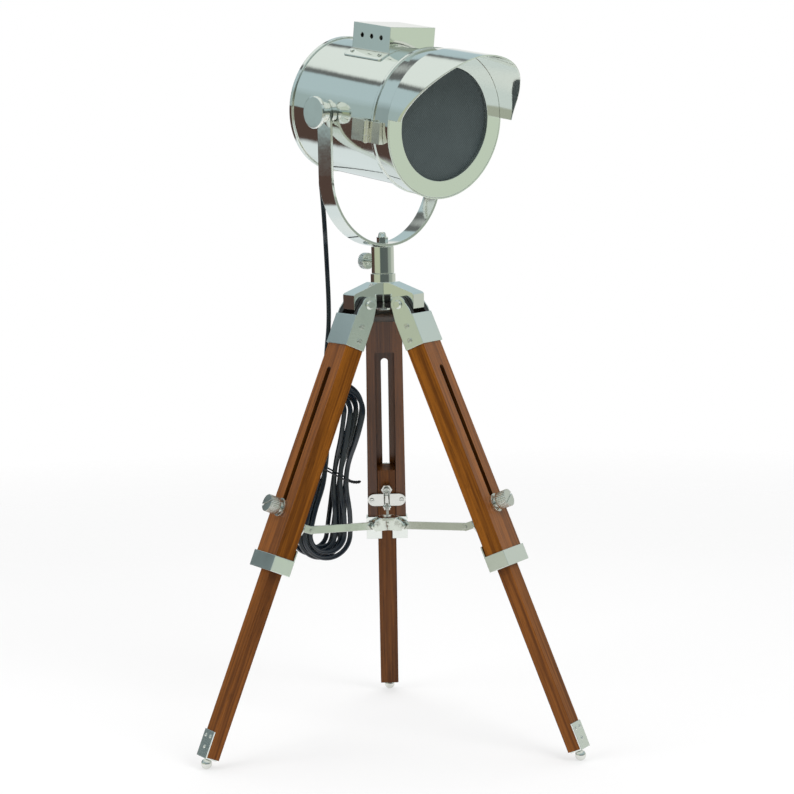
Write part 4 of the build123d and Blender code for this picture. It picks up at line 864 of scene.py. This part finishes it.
def screw_head(body, place, outward, across, slot_turn):
    """A slotted domed head: rings of points over the plate, a groove across the top."""
    beside = outward.cross(across)
    rings = []
    for level in range(SCREW_LEVELS):
        angle = level / (SCREW_LEVELS - 1) * pi / 2
        radius = max(SCREW_RADIUS * cos(angle), SCREW_TIP)
        rise = SCREW_RISE * sin(angle)
        ring = []
        for step in range(SCREW_SIDES):
            turn = 2 * pi * step / SCREW_SIDES
            x, y = radius * cos(turn), radius * sin(turn)
            from_slot = abs(x * cos(slot_turn) + y * sin(slot_turn))
            sunk = rise * SLOT_LEFT if from_slot < SLOT_HALF else rise
            ring.append(body.verts.new(place + across * x + beside * y + outward * sunk))
        rings.append(ring)
    join_rings(body, rings)


def foot_screws(tag, azimuth):
    """The three screws of one foot plate."""
    across, down, outward, hinge = leg_ways(azimuth)
    body = bmesh.new()
    for down_leg, side, slot_turn in FOOT_SCREWS:
        place = hinge + down * down_leg + across * side + outward * FOOT_PLATE_OUT
        screw_head(body, place, outward, across, slot_turn)
    screws = make_piece(f"foot_screws_{tag}", body, smooth=False)
    screws.data.materials.append(finishes["polished_steel"])
    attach(screws, f"lower_{tag}")


for leg_tag, leg_azimuth in LEG_AZIMUTHS.items():
    foot_screws(leg_tag, leg_azimuth)

# Studio: a pale floor that fades into white, broad soft lamps, and a room that the metal mirrors
WHITE = (1.0, 1.0, 1.0, 1.0)
FLOOR_PALE = (0.86, 0.86, 0.86, 1.0)
FLOOR_RADIUS = 1.7
FLOOR_FADE = (0.5 * FLOOR_RADIUS, 0.98 * FLOOR_RADIUS)
FLOOR_GAP = 0.2 * MM
FLOOR_SHADOW = 0.45
FLOOR_NEARER = 1.9


def make_floor():
    """A pale disc that keeps the shadows and fades out at its edge, nearer in reflections."""
    disc = bmesh.new()
    bmesh.ops.create_circle(disc, cap_ends=True, segments=96, radius=FLOOR_RADIUS)
    mesh = bpy.data.meshes.new("floor")
    disc.to_mesh(mesh)
    disc.free()
    floor = link(bpy.data.objects.new("floor", mesh))
    floor.location.z = cad_low.z - FLOOR_GAP
    material = bpy.data.materials.new("pale_floor")
    material.use_nodes = True
    tree = material.node_tree
    tree.nodes.clear()
    output = tree.nodes.new("ShaderNodeOutputMaterial")
    pale = put(tree, "ShaderNodeBsdfDiffuse", Color=FLOOR_PALE)
    white = put(tree, "ShaderNodeEmission", Color=WHITE, Strength=1.0)
    path = tree.nodes.new("ShaderNodeLightPath")
    seen = maths(tree, "MAXIMUM", path.outputs["Is Camera Ray"], path.outputs["Is Glossy Ray"])
    seen = maths(tree, "MAXIMUM", seen, path.outputs["Is Transmission Ray"])
    lifted = put(tree, "ShaderNodeMixShader", Fac=maths(tree, "MULTIPLY", seen, 1 - FLOOR_SHADOW))
    tree.links.new(pale.outputs[0], lifted.inputs[1])
    tree.links.new(white.outputs[0], lifted.inputs[2])
    place = tree.nodes.new("ShaderNodeTexCoord").outputs["Object"]
    distance = put(tree, "ShaderNodeVectorMath", {"operation": "LENGTH"}, i0=place).outputs["Value"]
    nearer = maths(tree, "ADD", 1.0, maths(tree, "MULTIPLY", path.outputs["Is Glossy Ray"], FLOOR_NEARER))
    fade = map_range(tree, maths(tree, "MULTIPLY", distance, nearer), FLOOR_FADE)
    clear = tree.nodes.new("ShaderNodeBsdfTransparent")
    mixed = put(tree, "ShaderNodeMixShader", Fac=fade)
    tree.links.new(lifted.outputs[0], mixed.inputs[1])
    tree.links.new(clear.outputs[0], mixed.inputs[2])
    tree.links.new(mixed.outputs[0], output.inputs["Surface"])
    mesh.materials.append(material)


# Room reflected in the metal, by bearing in degrees from the camera's side, right being positive
BRIGHT_WALL = (0.86, 0.87, 0.86)
WALL_TONES = [
    (-180.0, BRIGHT_WALL),
    (-168.0, BRIGHT_WALL),
    (-163.0, (0.035, 0.037, 0.036)),
    (-130.0, (0.05, 0.055, 0.052)),
    (-112.0, (0.27, 0.34, 0.35)),
    (-98.0, (0.38, 0.48, 0.49)),
    (-82.0, (0.47, 0.53, 0.43)),
    (-32.0, (0.5, 0.55, 0.38)),
    (-22.0, (0.1, 0.125, 0.12)),
    (50.0, (0.11, 0.13, 0.125)),
    (60.0, (0.3, 0.35, 0.31)),
    (90.0, (0.35, 0.4, 0.35)),
    (102.0, (0.56, 0.6, 0.54)),
    (146.0, (0.62, 0.65, 0.6)),
    (152.0, BRIGHT_WALL),
    (180.0, BRIGHT_WALL),
]
RAIL_TONES = [
    (-180.0, (0.05, 0.045, 0.042)),
    (-130.0, (0.08, 0.052, 0.044)),
    (-96.0, (0.09, 0.056, 0.046)),
    (-88.0, (0.48, 0.53, 0.39)),
    (-32.0, (0.5, 0.55, 0.41)),
    (-24.0, (0.1, 0.125, 0.12)),
    (50.0, (0.11, 0.13, 0.125)),
    (60.0, (0.3, 0.35, 0.31)),
    (90.0, (0.35, 0.4, 0.35)),
    (102.0, (0.56, 0.6, 0.54)),
    (180.0, (0.62, 0.65, 0.6)),
]
SKIRTING_TONES = [
    (-180.0, (0.74, 0.8, 0.82)),
    (-142.0, (0.7, 0.76, 0.78)),
    (-130.0, (0.085, 0.055, 0.046)),
    (-98.0, (0.09, 0.056, 0.046)),
    (-88.0, (0.42, 0.44, 0.38)),
    (30.0, (0.5, 0.53, 0.47)),
    (60.0, (0.59, 0.68, 0.56)),
    (180.0, (0.58, 0.64, 0.57)),
]
# Heights as sines: floor, skirting, rail, wall, upper wall, a cornice line, then the ceiling
FLOOR_LINE = (-0.5, -0.47)
RAIL_LINE = (-0.14, -0.11)
WALL_LINE = (-0.012, -0.002)
UPPER_LINE = (0.24, 0.36)
CORNICE_LINE = (0.6, 0.62)
CEILING_LINE = (0.65, 0.68)
FLOOR_TONE = (0.76, 0.83, 0.86, 1.0)
UPPER_TONE = (0.46, 0.58, 0.62, 1.0)
CORNICE_TONE = (0.14, 0.15, 0.15, 1.0)
CEILING_TONE = (0.8, 0.86, 0.84, 1.0)
ROOM_LIGHT = 0.55


def make_room():
    """White to the camera; a room of pale and dark walls to the metal; plain light on the rest."""
    world = bpy.data.worlds.new("studio_room")
    scene.world = world
    world.use_nodes = True
    tree = world.node_tree
    tree.nodes.clear()
    output = tree.nodes.new("ShaderNodeOutputWorld")
    way = tree.nodes.new("ShaderNodeTexCoord").outputs["Generated"]
    parts = put(tree, "ShaderNodeSeparateXYZ", Vector=way)
    towards = maths(tree, "MULTIPLY", parts.outputs["Y"], -1.0)
    bearing = maths(tree, "ARCTAN2", parts.outputs["X"], towards)
    turn = map_range(tree, bearing, (-pi, pi))

    def by_bearing(tones):
        return ramp(tree, turn, [(degrees / 360.0 + 0.5, tone) for degrees, tone in tones])

    def above(line, lower, upper):
        return mix_colours(tree, map_range(tree, parts.outputs["Z"], line), lower, upper)

    room = above(FLOOR_LINE, FLOOR_TONE, by_bearing(SKIRTING_TONES))
    room = above(RAIL_LINE, room, by_bearing(RAIL_TONES))
    room = above(WALL_LINE, room, by_bearing(WALL_TONES))
    room = above(UPPER_LINE, room, UPPER_TONE)
    room = above(CORNICE_LINE, room, CORNICE_TONE)
    room = above(CEILING_LINE, room, CEILING_TONE)
    path = tree.nodes.new("ShaderNodeLightPath")
    shiny = maths(tree, "MAXIMUM", path.outputs["Is Glossy Ray"], path.outputs["Is Transmission Ray"])
    plain = put(tree, "ShaderNodeBackground", Color=WHITE, Strength=ROOM_LIGHT)
    mirrored = put(tree, "ShaderNodeBackground", Color=room, Strength=1.0)
    white = put(tree, "ShaderNodeBackground", Color=WHITE, Strength=1.0)
    first = put(tree, "ShaderNodeMixShader", Fac=shiny)
    tree.links.new(plain.outputs[0], first.inputs[1])
    tree.links.new(mirrored.outputs[0], first.inputs[2])
    second = put(tree, "ShaderNodeMixShader", Fac=path.outputs["Is Camera Ray"])
    tree.links.new(first.outputs[0], second.inputs[1])
    tree.links.new(white.outputs[0], second.inputs[2])
    tree.links.new(second.outputs[0], output.inputs["Surface"])


# Lamps: place and width in metres, power in watts
LAMP_TARGET = Vector((0.0, 0.0, 0.3))
SOFTBOXES = {
    "key_softbox": (Vector((1.1, -1.6, 1.7)), 1.2, 26.0),
    "fill_softbox": (Vector((-1.6, -1.0, 1.2)), 1.4, 14.0),
    "top_softbox": (Vector((0.0, 0.5, 2.2)), 1.6, 18.0),
}


def softbox(name, place, width, power):
    """A broad square lamp that looks at the object; the metal mirrors the room alone."""
    lamp = bpy.data.lights.new(name, "AREA")
    lamp.shape = "SQUARE"
    lamp.size = width
    lamp.energy = power
    holder = link(bpy.data.objects.new(name, lamp))
    holder.location = place
    holder.rotation_euler = (LAMP_TARGET - place).to_track_quat("-Z", "Y").to_euler()
    holder.visible_glossy = False


make_floor()
make_room()
for lamp_name, (lamp_place, lamp_width, lamp_power) in SOFTBOXES.items():
    softbox(lamp_name, lamp_place, lamp_width, lamp_power)
scene.view_settings.view_transform = "Standard"
